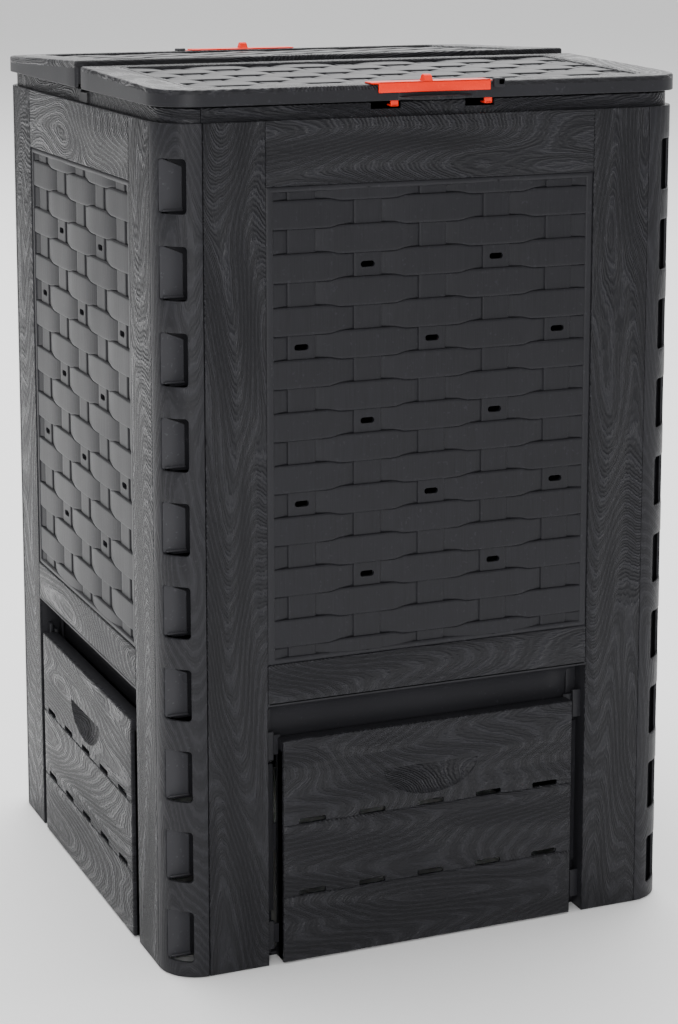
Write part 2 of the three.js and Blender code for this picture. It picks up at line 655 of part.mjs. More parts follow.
function hingeBeam() {
  const half = BEAM_WIDTH / 2;
  const inside = A - WALL - BEAM_SHOULDER;
  const end = A - BAND_INSET + BEAM_END_REACH;
  const foot = BEAM_TOP - BEAM_DEPTH;
  const endFoot = PANEL_HEIGHT + BEAM_SEAT;
  const channel = cut(block(-inside, inside, BEAM_Y - half, BEAM_Y + half, foot, BEAM_TOP), [
    block(
      -inside + WALL,
      inside - WALL,
      BEAM_Y - half + WALL,
      BEAM_Y + half - WALL,
      foot - 1,
      BEAM_TOP - WALL,
    ),
  ]);
  const ends = [-1, 1].map((side) =>
    block(side * (inside - OVERLAP), side * end, BEAM_Y - half, BEAM_Y + half, endFoot, BEAM_TOP),
  );
  const knuckles = HINGE_PLACES.flatMap((x) => {
    const x0 = x - BEAM_KNUCKLE / 2;
    const x1 = x + BEAM_KNUCKLE / 2;
    const r = KNUCKLE_RADIUS;
    const webFoot = foot + KNUCKLE_WEB_DROP;
    const shoulder = BEAM_TOP + KNUCKLE_SHOULDER;
    return [
      block(x0, x1, frontAxis.y - r, BEAM_Y - half + OVERLAP, webFoot, shoulder),
      block(x0, x1, BEAM_Y + half - OVERLAP, rearAxis.y + r, webFoot, shoulder),
      knuckle(x0, x1, frontAxis.y, frontAxis.z, frontAxis.y - r, frontAxis.y + r - 2, webFoot, frontAxis.z),
      knuckle(x0, x1, rearAxis.y, rearAxis.z, rearAxis.y - r + 2, rearAxis.y + r, webFoot, rearAxis.z),
    ];
  });
  const bores = [frontAxis, rearAxis].map(({ y, z }) =>
    rod(-inside + 10, inside - 10, y, z, PIN_RADIUS + PIN_CLEARANCE),
  );
  return cut(join([channel, ...ends, ...knuckles]), bores);
}

function hingePin(x, axis) {
  const reach = BEAM_KNUCKLE / 2 + KNUCKLE_GAP + LID_KNUCKLE;
  const head = x + reach + PIN_CLEARANCE;
  return join([
    rod(x - reach - 2, head + 1, axis.y, axis.z, PIN_RADIUS),
    rod(head, head + PIN_HEAD, axis.y, axis.z, PIN_HEAD_RADIUS),
  ]);
}

// ---- Assembly -----------------------------------------------------------------------------------
const anthracite = new THREE.MeshStandardMaterial({ color: 0x2e2e31, roughness: 0.55, metalness: 0 });
const pinPlastic = new THREE.MeshStandardMaterial({ color: 0x1c1c1e, roughness: 0.45, metalness: 0 });
const latchRed = new THREE.MeshStandardMaterial({ color: 0xe8432a, roughness: 0.4, metalness: 0 });

const compostBin = new THREE.Group();

const sides = [
  { side: "front", turn: 0, kind: "latched" },
  { side: "right", turn: Math.PI / 2, kind: "beam_right" },
  { side: "rear", turn: Math.PI, kind: "latched" },
  { side: "left", turn: -Math.PI / 2, kind: "beam_left" },
];
for (const { side, turn, kind } of sides) {
  const wall = new THREE.Group();
  wall.rotation.z = turn;
  wall.add(part(side + "_panel", sidePanel(kind), anthracite));
  wall.add(part(side + "_hatch", hatch(), anthracite));
  compostBin.add(wall);
}

const rearTurn = new THREE.Group();
rearTurn.rotation.z = Math.PI;
compostBin.add(part("front_lid", lidHalf(SEAM_FRONT, FRONT_SEAM_TOP, FRONT_AXIS), anthracite));
compostBin.add(part("front_latch", latch(), latchRed));
rearTurn.add(part("rear_lid", lidHalf(-SEAM_REAR, REAR_SEAM_TOP, REAR_AXIS), anthracite));
rearTurn.add(part("rear_latch", latch(), latchRed));
compostBin.add(rearTurn);

compostBin.add(part("hinge_beam", hingeBeam(), anthracite));
HINGE_PLACES.forEach((x, i) => {
  compostBin.add(part("front_hinge_pin_" + (i + 1), hingePin(x, frontAxis), pinPlastic));
  compostBin.add(part("rear_hinge_pin_" + (i + 1), hingePin(x, rearAxis), pinPlastic));
});

export default compostBin;
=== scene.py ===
# %% [markdown]
# # Garden compost bin
# A square, free-standing compost bin moulded in dark grey plastic. Four equal side panels hook into each
# other at the corners; each carries two posts and two rails with a wood grain, a woven infill with air
# vents, and a hatch at its foot. A two-part gabled lid turns on a hidden cross beam and is held shut by
# two orange-red sliding latches. The CAD bodies give the frame, the joints and the sizes; here each
# moulding is drawn again with its rolled edges, weave, holes and surface.

# %% Load the frame
from math import cos, pi, radians, sin

import bpy
import numpy as np
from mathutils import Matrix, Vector


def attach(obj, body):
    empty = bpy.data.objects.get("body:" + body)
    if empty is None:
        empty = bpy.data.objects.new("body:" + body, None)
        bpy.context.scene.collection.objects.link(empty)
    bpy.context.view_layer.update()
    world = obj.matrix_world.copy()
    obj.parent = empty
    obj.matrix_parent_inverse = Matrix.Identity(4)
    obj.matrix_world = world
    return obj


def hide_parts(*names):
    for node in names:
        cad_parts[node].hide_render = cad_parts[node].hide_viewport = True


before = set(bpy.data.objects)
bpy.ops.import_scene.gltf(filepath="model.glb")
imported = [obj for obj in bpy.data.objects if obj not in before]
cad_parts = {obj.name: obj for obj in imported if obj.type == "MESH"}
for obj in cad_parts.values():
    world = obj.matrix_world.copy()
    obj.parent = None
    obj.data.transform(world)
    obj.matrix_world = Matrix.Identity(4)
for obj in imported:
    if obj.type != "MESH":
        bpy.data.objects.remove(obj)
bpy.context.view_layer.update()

MM = 0.001  # lengths below are in millimetres


# %% [markdown]
# ## Sizes
# These are the same driving sizes as the CAD bodies have, so that every visual piece lies on its body.
# The side panel is described along its plan path `u`: straight along the face, then round the corner.

# %% Sizes shared by the pieces
A, CORNER, WALL = 300.0, 43.0, 3.0  # half the width; corner radius; moulded wall
Q = A - CORNER  # where the corner starts
P = Q - 67.6  # inner edge of a post
SEAM = 0.35  # half the groove between two panels
PATH_END = Q + CORNER * (pi / 2 - SEAM / CORNER)
TOP, BAND_TOP, BAND_IN = 910.0, 924.5, 5.5
INFILL_TOP, INFILL_FOOT, HATCHWAY = 842.0, 335.0, 290.0
HALF_HATCH, HATCH_TOP, HATCH_FOOT, PROUD = 173.0, 250.0, 1.0, 1.5
LID_HALF, LID_FOOT, LID_EDGE = 302.5, 926.3, 943.5
print("path round one panel:", round(PATH_END + Q, 1), "mm")

# %% [markdown]
# ## Tools
# Every piece is a set of closed skins. A skin is a grid of points computed from two parameters, with a
# second grid behind it; holes are cells left out of both. Rolled edges come from one formula, a quarter
# circle, and the grid lines crowd together where the surface turns.


# %% Collecting closed skins into a mesh
def volume(points, groups):
    """Signed volume inside the faces, each split into triangles from its first corner."""
    total = 0.0
    for faces in groups:
        first = points[faces[:, 0]]
        for k in range(1, faces.shape[1] - 1):
            second, third = points[faces[:, k]], points[faces[:, k + 1]]
            total += np.einsum("ij,ij->", first, np.cross(second, third))
    return total / 6


class Pile:
    """Closed skins gathered for one piece. Each is turned so that its faces look outwards."""

    def __init__(self):
        self.points, self.grain, self.groups, self.count = [], [], [], 0

    def add(self, points, groups, grain, finish=0):
        """Adds faces, given as arrays of point numbers; `grain` is each point's place along and across."""
        points, grain = points.reshape(-1, 3), grain.reshape(-1, 2)
        used = np.unique(np.concatenate([faces.ravel() for faces in groups]))
        renumber = np.zeros(len(points), int)
        renumber[used] = np.arange(len(used))
        points, groups = points[used], [renumber[faces] for faces in groups]
        if volume(points, groups) < 0:
            groups = [faces[:, ::-1] for faces in groups]
        self.points.append(points)
        self.grain.append(grain[used])
        self.groups += [(faces + self.count, finish) for faces in groups]
        self.count += len(points)

    def build(self, name, materials, turn=0, shift=0.0, crease=34):
        """Makes the mesh object, turned about Z by `turn` quarter turns, its grain moved by `shift`."""
        c, s = [(1, 0), (0, 1), (-1, 0), (0, -1)][turn]
        points = np.concatenate(self.points) * MM
        points = points @ np.array([[c, s, 0], [-s, c, 0], [0, 0, 1]])
        grain = np.concatenate(self.grain) * MM + shift
        corners = np.concatenate([faces.ravel() for faces, _ in self.groups])
        sizes = np.concatenate([np.full(len(faces), faces.shape[1]) for faces, _ in self.groups])
        finish = np.concatenate([np.full(len(faces), kind) for faces, kind in self.groups])
        mesh = bpy.data.meshes.new(name)
        mesh.vertices.add(len(points))
        mesh.vertices.foreach_set("co", points.ravel())
        mesh.loops.add(len(corners))
        mesh.loops.foreach_set("vertex_index", corners)
        mesh.polygons.add(len(sizes))
        mesh.polygons.foreach_set("loop_start", np.cumsum(sizes) - sizes)
        mesh.polygons.foreach_set("material_index", finish)
        mesh.polygons.foreach_set("use_smooth", np.ones(len(sizes), bool))
        mesh.update(calc_edges=True)
        mesh.uv_layers.new(name="grain").data.foreach_set("uv", grain[corners].ravel())
        mesh.set_sharp_from_angle(angle=radians(crease))
        for material in materials:
            mesh.materials.append(material)
        piece = bpy.data.objects.new(name, mesh)
        bpy.context.scene.collection.objects.link(piece)
        print(f"{name}: {len(points)} points, {int((sizes - 2).sum())} triangles")
        return piece


# %% Skins, bars and rolled edges
def roll(distance, radius):
    """Drop of a rolled edge: a quarter circle, `radius` at the edge and nothing from `radius` on."""
    inward = np.clip(distance, 0, radius)
    return radius - np.sqrt(np.maximum(radius**2 - (radius - inward) ** 2, 0))


def roll_lines(radius, steps=4):
    """Distances from an edge at which its quarter circle is cut into equal angles."""
    return radius * (1 - np.cos(np.linspace(0, pi / 2, steps + 1)))


def lines(low, high, radius=1.2, step=30.0, extra=()):
    """Grid lines from low to high, crowded along both rolled edges and at most `step` apart between."""
    ramp = roll_lines(radius)
    count = max(2, int(np.ceil((high - low - 2 * radius) / step)) + 1)
    middle = np.linspace(low + radius, high - radius, count)
    every = np.concatenate([low + ramp, middle, high - ramp, np.asarray(extra, float)])
    return np.unique(np.round(every[(every >= low) & (every <= high)], 3))


def skin(pile, front, back, grain, keep=None, wrap=False, finish=0):
    """A closed skin: two grids of points, joined by walls round the kept cells. `wrap` closes a ring."""
    rows, columns = front.shape[:2]
    if keep is None:
        keep = np.ones((rows - 1, columns - 1), bool)
    number = np.arange(rows * columns).reshape(rows, columns)
    if wrap:
        number[:, -1] = number[:, 0]
    behind = rows * columns
    face = np.stack([number[:-1, :-1], number[1:, :-1], number[1:, 1:], number[:-1, 1:]], -1)[keep]
    padded = np.pad(keep, 1)
    if wrap:
        padded[1:-1, 0], padded[1:-1, -1] = keep[:, -1], keep[:, 0]
    groups = [face, face[:, ::-1] + behind]
    left, right = padded[1:-1, :-1], padded[1:-1, 1:]
    below, above = padded[:-1, 1:-1], padded[1:, 1:-1]
    p, q = number[:-1, :], number[1:, :]
    r, t = number[:, :-1], number[:, 1:]
    for start, end, chosen in (
        (q, p, right & ~left),
        (p, q, left & ~right),
        (r, t, above & ~below),
        (t, r, below & ~above),
    ):
        a, b = start[chosen], end[chosen]
        groups.append(np.stack([a, b, b + behind, a + behind], -1))
    pile.add(np.stack([front, back]), [g for g in groups if len(g)], np.stack([grain, grain]), finish)


def sweep(pile, section, stations, place, radius=0.0, finish=0):
    """Carries a closed section (points of two coordinates) along a third; its ends are rolled in.
    Near an end the section shrinks towards its middle by the same quarter circle as the edges have."""
    section = np.asarray(section, float)
    low, high = stations[0], stations[-1]
    at = lines(low, high, radius, 1e9, stations) if radius else np.asarray(stations, float)
    shrink = roll(np.minimum(at - low, high - at), radius) if radius else np.zeros(len(at))
    middle = (section.min(0) + section.max(0)) / 2
    half = np.maximum((section.max(0) - section.min(0)) / 2, 1e-6)
    scale = 1 - np.minimum(shrink[:, None] / half, 0.9)
    rings = middle + (section - middle)[None] * scale[:, None]
    count = len(section)
    points = place(at[:, None], rings[..., 0], rings[..., 1])
    number = np.arange(len(at) * count).reshape(len(at), count)
    after = np.roll(number, -1, axis=1)
    side = np.stack([number[:-1], number[1:], after[1:], after[:-1]], -1).reshape(-1, 4)
    around = np.cumsum(np.linalg.norm(section - np.roll(section, 1, axis=0), axis=1))
    grain = np.stack(np.broadcast_arrays(at[:, None], around[None]), -1)
    pile.add(points, [side, number[:1, ::-1], number[-1:]], grain, finish)


def straight(u, v, w):
    """Plain x, y, z."""
    return np.stack(np.broadcast_arrays(u, v, w), -1)


def rounded_box(low_v, high_v, low_w, high_w, radius, steps=3):
    """A rectangle with rounded corners, as a loop of points."""
    radius = min(radius, (high_v - low_v) / 2 - 0.01, (high_w - low_w) / 2 - 0.01)
    loops = []
    middles = [(high_v, high_w, 0), (low_v, high_w, 90), (low_v, low_w, 180), (high_v, low_w, 270)]
    for v, w, begin in middles:
        centre_v = v - radius if v == high_v else v + radius
        centre_w = w - radius if w == high_w else w + radius
        angle = np.radians(np.linspace(begin, begin + 90, steps + 1))
        loops.append(np.stack([centre_v + radius * np.cos(angle), centre_w + radius * np.sin(angle)], -1))
    return np.concatenate(loops)


def bar(pile, low, high, radius=0.8, place=straight, bends=(), finish=0):
    """A bar with rounded edges between two corners, swept along its longest side."""
    low, high = np.minimum(low, high), np.maximum(low, high)
    axis = 0 if len(bends) else int(np.argmax(high - low))
    v, w = [k for k in range(3) if k != axis]
    section = rounded_box(low[v], high[v], low[w], high[w], radius)

    def put(along, first, second):
        sorted_back = dict(zip((axis, v, w), (along, first, second)))
        return place(sorted_back[0], sorted_back[1], sorted_back[2])

    inner = [b for b in bends if low[axis] + radius < b < high[axis] - radius]
    sweep(pile, section, [low[axis], *inner, high[axis]], put, radius, finish)


def soften_hole(u, z, hole, radius):
    """Moves the grid points round a hole so that its corners follow a radius.
    A point on a side, less than the radius from a corner, slides to the matching angle of the corner's
    quarter circle; the shift fades out over twice the radius."""
    u0, u1, z0, z1 = hole
    du, dz = u - (u0 + u1) / 2, z - (z0 + z1) / 2
    half_u, half_z = (u1 - u0) / 2, (z1 - z0) / 2
    along_u = np.clip(half_u - np.abs(du), 0, radius)
    along_z = np.clip(half_z - np.abs(dz), 0, radius)
    far = np.maximum(np.abs(du) - half_u, np.abs(dz) - half_z)
    weight = np.clip(1 - np.maximum(far, 0) / (2 * radius), 0, 1)
    upright = along_z >= along_u
    angle = radians(45) * (1 - np.where(upright, along_z, along_u) / radius)
    across = -radius * (1 - np.cos(angle))
    lengthwise = np.where(upright, along_z, along_u) - radius + radius * np.sin(angle)
    shift_u = np.where(upright, across, lengthwise) * weight
    shift_z = np.where(upright, lengthwise, across) * weight
    near = (np.abs(du) < half_u + 2 * radius) & (np.abs(dz) < half_z + 2 * radius)
    return u + np.sign(du) * shift_u * near, z + np.sign(dz) * shift_z * near


def hole_lines(low, high, radius):
    """Grid lines that a softened hole needs."""
    edge = np.array([-2 * radius, -0.8, -0.3, 0, radius / 2, radius])
    return np.concatenate([low + edge, high - edge])


def hole_cells(us, zs, holes):
    """True for the grid cells that stay: those whose middle lies in no hole."""
    u, z = np.meshgrid((us[1:] + us[:-1]) / 2, (zs[1:] + zs[:-1]) / 2)
    keep = np.ones(u.shape, bool)
    for u0, u1, z0, z1 in holes:
        keep &= ~((u > u0) & (u < u1) & (z > z0) & (z < z1))
    return keep


def board(pile, place, us, zs, upright, base=0.0, thick=WALL, edge=1.2, holes=(), soft=4.0, finish=0):
    """A flat board with rolled edges and softened holes. Depth grows inwards from the panel's face."""
    u, z = np.meshgrid(us, zs)
    drop = np.maximum(
        roll(np.minimum(u - us[0], us[-1] - u), edge), roll(np.minimum(z - zs[0], zs[-1] - z), edge)
    )
    for hole in holes:
        u0, u1, z0, z1 = hole
        outside = np.maximum(np.maximum(u0 - u, u - u1), np.maximum(z0 - z, z - z1))
        drop = np.maximum(drop, np.where(outside >= -0.01, roll(outside, 0.8), 0))
    keep = hole_cells(us, zs, holes)
    grain = np.stack([z, u] if upright else [u, z], -1)
    for hole in holes:
        u, z = soften_hole(u, z, hole, soft)
    skin(pile, place(u, base + drop, z), place(u, base + thick, z), grain, keep, finish=finish)


# %% [markdown]
# ## The weave
# Flat wefts run across and dip under every second upright; in the next row the uprights swap. A weft
# bulges like a shallow arch between two uprights, its rim is rolled, and the rows widen a little where a
# weft comes to the front. On the real moulding this is one skin, so here it is one surface too: the first
# parameter runs along the wefts, the second counts rows.


# %% Weave surface
def weave_rows(rows, vents, vent_half):
    """Row numbers and places within the row (0 at its top, 1 at its foot) for each grid line."""
    plain = np.array([0.006, 0.012, 0.03, 0.06, 0.12, 0.3, 0.5, 0.7, 0.88, 0.94, 0.97, 0.988, 0.994])
    slot = 0.5 + vent_half * np.array([-1.5, -1, -0.5, 0.5, 1, 1.5])
    row, place = [], []
    for k in rows:
        at = np.unique(np.concatenate([plain, slot])) if k in vents else plain
        row.append(np.full(len(at), k))
        place.append(at)
    return np.concatenate(row), np.concatenate(place)


def weave_columns(low, high, pitch, upright, marks, between):
    """Grid lines along the wefts: crowded at the sides of each upright, plus the given marks."""
    every = [low, high]
    for k in range(int(np.floor(low / pitch)) - 1, int(np.ceil(high / pitch)) + 2):
        for offset in (upright - 0.4, upright + 0.4, upright - 1.2, *marks):
            every += [k * pitch - offset, k * pitch + offset]
        inner = np.linspace(upright + 0.4, pitch - upright - 0.4, between + 2)[1:-1]
        every += list(k * pitch + inner)
    every = np.round([value for value in every if low <= value <= high], 3)
    return np.unique(every)


def weave_depth(u, row, place, pitch, upright, height, deep, proud, patch):
    """Depth of the weave. The distance to the nearest upright shown in this row tells warp from weft."""
    phase = np.mod(u / pitch - np.mod(row, 2), 2)
    away = np.minimum(phase, 2 - phase) * pitch
    arch = np.clip((away - upright) / (pitch - upright), 0, 1)
    weft = deep + (proud - deep) * (1 - (1 - arch) ** 3.4)
    rim = np.minimum(place, 1 - place) * height
    weft = weft + roll(rim, 1.5)
    warp = patch + roll(rim, 0.5) + roll(upright - away, 1.2)
    return np.where(away < upright, warp, weft)


# %% [markdown]
# ## Surfaces
# All parts are moulded polypropylene. The posts, rails, hatches and lid borders carry an etched wood
# grain: contour lines of a stretched noise make the nested arches of flat-sawn boards, and thin ridges
# between them catch the light. The weave is smoother, with fine drawn lines. Everything has the fine
# pebble of a spark-eroded mould, slight clouds in gloss and a trace of dust.


# %% Node groups
def new_group(name, inputs, outputs):
    """An empty shader node group with sockets given as (name, kind)."""
    group = bpy.data.node_groups.new(name, "ShaderNodeTree")
    for label, kind in inputs:
        group.interface.new_socket(name=label, in_out="INPUT", socket_type=kind)
    for label, kind in outputs:
        group.interface.new_socket(name=label, in_out="OUTPUT", socket_type=kind)
    return group, group.nodes.new("NodeGroupInput"), group.nodes.new("NodeGroupOutput")


def node(tree, kind, inputs=(), **settings):
    """A node with its settings and inputs; an input is a number, a vector or another node's socket."""
    made = tree.nodes.new(kind)
    for key, value in settings.items():
        setattr(made, key, value)
    for key, value in dict(inputs).items():
        if isinstance(value, bpy.types.NodeSocket):
            tree.links.new(value, made.inputs[key])
        else:
            made.inputs[key].default_value = value
    return made


def maths(tree, operation, first, second=0.0):
    """One maths node's output."""
    return node(tree, "ShaderNodeMath", {0: first, 1: second}, operation=operation).outputs[0]


def noise(tree, vector, stretch, detail=2.0, distortion=0.0):
    """Noise over a stretched copy of the coordinates."""
    mapped = node(tree, "ShaderNodeMapping", {"Vector": vector, "Scale": stretch}).outputs[0]
    settings = {"Vector": mapped, "Scale": 1.0, "Detail": detail, "Distortion": distortion}
    return node(tree, "ShaderNodeTexNoise", settings).outputs["Fac"]


def grain_group():
    """Etched wood grain: `Ridge` marks the thin raised lines, `Height` is the relief."""
    tree, source, result = new_group(
        "wood grain",
        [("Vector", "NodeSocketVector")],
        [("Ridge", "NodeSocketFloat"), ("Height", "NodeSocketFloat")],
    )
    vector = source.outputs["Vector"]
    field = noise(tree, vector, (2.4, 11.0, 1.0), 1.2, 0.2)
    tremble = noise(tree, vector, (60.0, 190.0, 1.0), 2.0)
    along = node(tree, "ShaderNodeSeparateXYZ", {"Vector": vector}).outputs["X"]

    def contour(turns, rise, wander, power):
        """Ridges along the contour lines of the field, tilted by a steady rise along the board."""
        shake = maths(tree, "MULTIPLY", tremble, wander)
        phase = maths(tree, "ADD", maths(tree, "MULTIPLY", field, turns), shake)
        phase = maths(tree, "ADD", phase, maths(tree, "MULTIPLY", along, rise))
        wave = maths(tree, "MULTIPLY_ADD", maths(tree, "SINE", phase), 0.5)
        wave.node.inputs[2].default_value = 0.5
        return maths(tree, "POWER", wave, power)

    broad = contour(190.0, 190.0, 4.0, 2.2)
    fine = contour(760.0, 700.0, 9.0, 1.3)
    fibre = noise(tree, vector, (170.0, 620.0, 1.0), 2.0)
    broken = maths(tree, "MULTIPLY", broad, maths(tree, "MULTIPLY_ADD", fibre, 1.1))
    broken.node.inputs[1].links[0].from_node.inputs[2].default_value = 0.35
    threads = maths(tree, "MULTIPLY", fine, fibre)
    ridge = maths(tree, "ADD", broken, maths(tree, "MULTIPLY", threads, 0.4))
    tree.links.new(ridge, result.inputs["Ridge"])
    relief = maths(tree, "MULTIPLY", broken, 0.6)
    height = maths(tree, "ADD", relief, maths(tree, "MULTIPLY", threads, 1.3))
    tree.links.new(height, result.inputs["Height"])
    return tree


def mould_group():
    """Moulded plastic skin: fine pebble relief, slow clouds, and sparse specks of dust."""
    tree, source, result = new_group(
        "moulded skin",
        [("Vector", "NodeSocketVector")],
        [("Height", "NodeSocketFloat"), ("Cloud", "NodeSocketFloat"), ("Dust", "NodeSocketFloat")],
    )
    vector = source.outputs["Vector"]
    pebble = noise(tree, vector, (900.0, 900.0, 900.0), 3.0)
    tree.links.new(pebble, result.inputs["Height"])
    tree.links.new(noise(tree, vector, (7.0, 7.0, 7.0), 3.0), result.inputs["Cloud"])
    speck = maths(tree, "SUBTRACT", noise(tree, vector, (260.0, 260.0, 260.0), 1.0), 0.66)
    tree.links.new(maths(tree, "MULTIPLY", maths(tree, "MAXIMUM", speck, 0.0), 6.0), result.inputs["Dust"])
    return tree


def drawn_group():
    """Fine lines drawn along the second coordinate, as the weave's skin has."""
    tree, source, result = new_group(
        "drawn lines", [("Vector", "NodeSocketVector")], [("Height", "NodeSocketFloat")]
    )
    strand = noise(tree, source.outputs["Vector"], (620.0, 22.0, 1.0), 2.0)
    tree.links.new(strand, result.inputs["Height"])
    return tree


GRAIN, MOULD, DRAWN = grain_group(), mould_group(), drawn_group()


# %% Materials
INDEX = 1.25  # below polypropylene's own 1.49: a mould-blasted skin mirrors less than a polished one


def plastic(
    name, dark, light, rough, use=None, relief=0.0, pebble=0.05, mapped=True, spread=0.16, polish=0.0
):
    """A moulded plastic. `use` adds a relief group whose ridges take the light colour; `polish` makes them
    glossier than the ground between them, and `spread` is how far clouds vary the gloss."""
    material = bpy.data.materials.new(name)
    material.use_nodes = True
    tree = material.node_tree
    shader = tree.nodes["Principled BSDF"]
    shader.inputs["IOR"].default_value = INDEX
    space = node(tree, "ShaderNodeTexCoord").outputs["Object"]
    mould = node(tree, "ShaderNodeGroup", node_tree=MOULD)
    tree.links.new(space, mould.inputs["Vector"])
    height = maths(tree, "MULTIPLY", mould.outputs["Height"], pebble)
    tone = maths(tree, "MULTIPLY", mould.outputs["Cloud"], 0.5)
    if use is not None:
        made = node(tree, "ShaderNodeGroup", node_tree=use)
        if mapped:
            place = node(tree, "ShaderNodeUVMap", uv_map="grain").outputs["UV"]
        else:
            place = space
        tree.links.new(place, made.inputs["Vector"])
        height = maths(tree, "ADD", height, maths(tree, "MULTIPLY", made.outputs["Height"], relief))
        mark = made.outputs["Ridge"] if "Ridge" in made.outputs else made.outputs["Height"]
        tone = maths(tree, "MULTIPLY", maths(tree, "ADD", tone, mark), 0.6)
    tone = maths(tree, "MINIMUM", maths(tree, "ADD", tone, mould.outputs["Dust"]), 1.0)
    colour = node(tree, "ShaderNodeMix", data_type="RGBA")
    tree.links.new(tone, colour.inputs["Factor"])
    colour.inputs["A"].default_value = (*dark, 1)
    colour.inputs["B"].default_value = (*light, 1)
    tree.links.new(colour.outputs["Result"], shader.inputs["Base Color"])
    gloss = maths(tree, "MULTIPLY_ADD", mould.outputs["Cloud"], spread)
    gloss.node.inputs[2].default_value = rough - spread / 2
    if polish:
        gloss = maths(tree, "SUBTRACT", gloss, maths(tree, "MULTIPLY", mark, polish))
    tree.links.new(gloss, shader.inputs["Roughness"])
    bump = node(tree, "ShaderNodeBump", {"Height": height, "Strength": 1.0, "Distance": MM})
    tree.links.new(bump.outputs["Normal"], shader.inputs["Normal"])
    return material


wood = plastic(
    "grained anthracite", (0.0115, 0.0115, 0.0132), (0.025, 0.025, 0.029), 0.42, GRAIN, 0.85, polish=0.15
)
satin = plastic("woven anthracite", (0.009, 0.009, 0.0105), (0.022, 0.022, 0.026), 0.40, DRAWN, 0.16)
smooth = plastic("smooth anthracite", (0.013, 0.013, 0.015), (0.032, 0.032, 0.037), 0.40)
red = plastic("latch red", (0.83, 0.016, 0.003), (0.90, 0.045, 0.012), 0.34, pebble=0.03)
lining = plastic(
    "beam plastic", (0.015, 0.015, 0.016), (0.04, 0.04, 0.042), 0.5, DRAWN, 0.08, mapped=False
)
pin_black = plastic(
    "pin plastic", (0.010, 0.010, 0.011), (0.03, 0.03, 0.032), 0.38, DRAWN, 0.05, mapped=False
)
faint = plastic(
    "faintly grained anthracite", (0.012, 0.012, 0.014), (0.026, 0.026, 0.030), 0.40, GRAIN, 0.22
)
# The locking clips behind the corner windows are the panel's own anthracite. Here they are painted lighter, as
# painted light standing in for the light that reaches them through the windows.
clip_painted_lighter = plastic("clip anthracite painted lighter", (0.030, 0.030, 0.034), (0.060, 0.060, 0.066), 0.30)
FINISHES = [wood, satin, smooth, faint, clip_painted_lighter]
WOOD, SATIN, SMOOTH, FAINT, CLIP_PAINTED_LIGHTER = range(5)
print("materials:", [material.name for material in bpy.data.materials if material.users])

# %% [markdown]
# ## Side panel
# One moulding serves all four sides. It stands on its two posts; the right-hand post carries on round the
# corner and ends against the next panel. Ten windows up the corner show the hooks that lock the panels
# together. The face of every board is rolled at its rim, which leaves the fine grooves between posts,
# rails and corner. Under the bottom rail a smooth cove runs back to the top of the hatch.


# %% Panel tools
def on_panel(u, depth, z):
    """The panel's own space: along the face and round the corner, inwards, and up."""
    turn = np.maximum(u - Q, 0) / CORNER
    x = np.minimum(u, Q) + (CORNER - depth) * np.sin(turn)
    y = -Q - (CORNER - depth) * np.cos(turn)
    return np.stack(np.broadcast_arrays(x, y, z), -1)


WINDOW_TOPS = TOP - 36.0 - 89.0 * np.arange(10)
WINDOW_HEIGHT = 56.0
WINDOW_U = (Q + CORNER * radians(24), Q + CORNER * radians(67))
CORNER_BENDS = Q + CORNER * np.radians(np.arange(6, 90, 6))
VENT_ROWS = (3, 6, 9, 12, 15)
ROW, COLUMN, UPRIGHT, ROW_WAVE = 27.8, 74.6, 15.6, 1.3
ROW_ZERO = 756.5 + 3.5 * ROW  # top of row 0
VENT_HALF = (8.0, 3.25)


def corner_wrap(pile):
    """The rounded corner with its ten windows."""
    holes = [(*WINDOW_U, top - WINDOW_HEIGHT, top) for top in WINDOW_TOPS]
    us = lines(Q, PATH_END, extra=[*CORNER_BENDS, *hole_lines(*WINDOW_U, 4.0)])
    marks = np.concatenate([hole_lines(top - WINDOW_HEIGHT, top, 4.0) for top in WINDOW_TOPS])
    zs = lines(0, TOP, step=1e9, extra=marks)
    board(pile, on_panel, us, zs, True, holes=holes, finish=FAINT)


def infill_frame(pile):
    """The flat ring round the weave: a groove outside, a rolled step down inside."""
    side, top = 9.4, 6.8
    hole = (side - P, P - side, INFILL_FOOT + top, INFILL_TOP - top)
    steps = np.array([0, 0.1, 0.25, 0.45, 0.75, 0.85, 0.93, 1.0])
    us = np.concatenate([-P + side * steps, P - side * steps[::-1]])
    zs = np.concatenate([INFILL_FOOT + top * steps, INFILL_TOP - top * steps[::-1]])
    u, z = np.meshgrid(us, zs)
    share = np.minimum(np.minimum(u + P, P - u) / side, np.minimum(z - INFILL_FOOT, INFILL_TOP - z) / top)
    depth = np.interp(share, steps, [2.2, 1.4, 1.0, 0.9, 0.9, 1.3, 2.4, 4.6])
    grain = np.stack([u, z], -1)
    keep = hole_cells(us, zs, [hole])
    skin(pile, on_panel(u, depth, z), on_panel(u, 8.0, z), grain, keep, finish=SMOOTH)


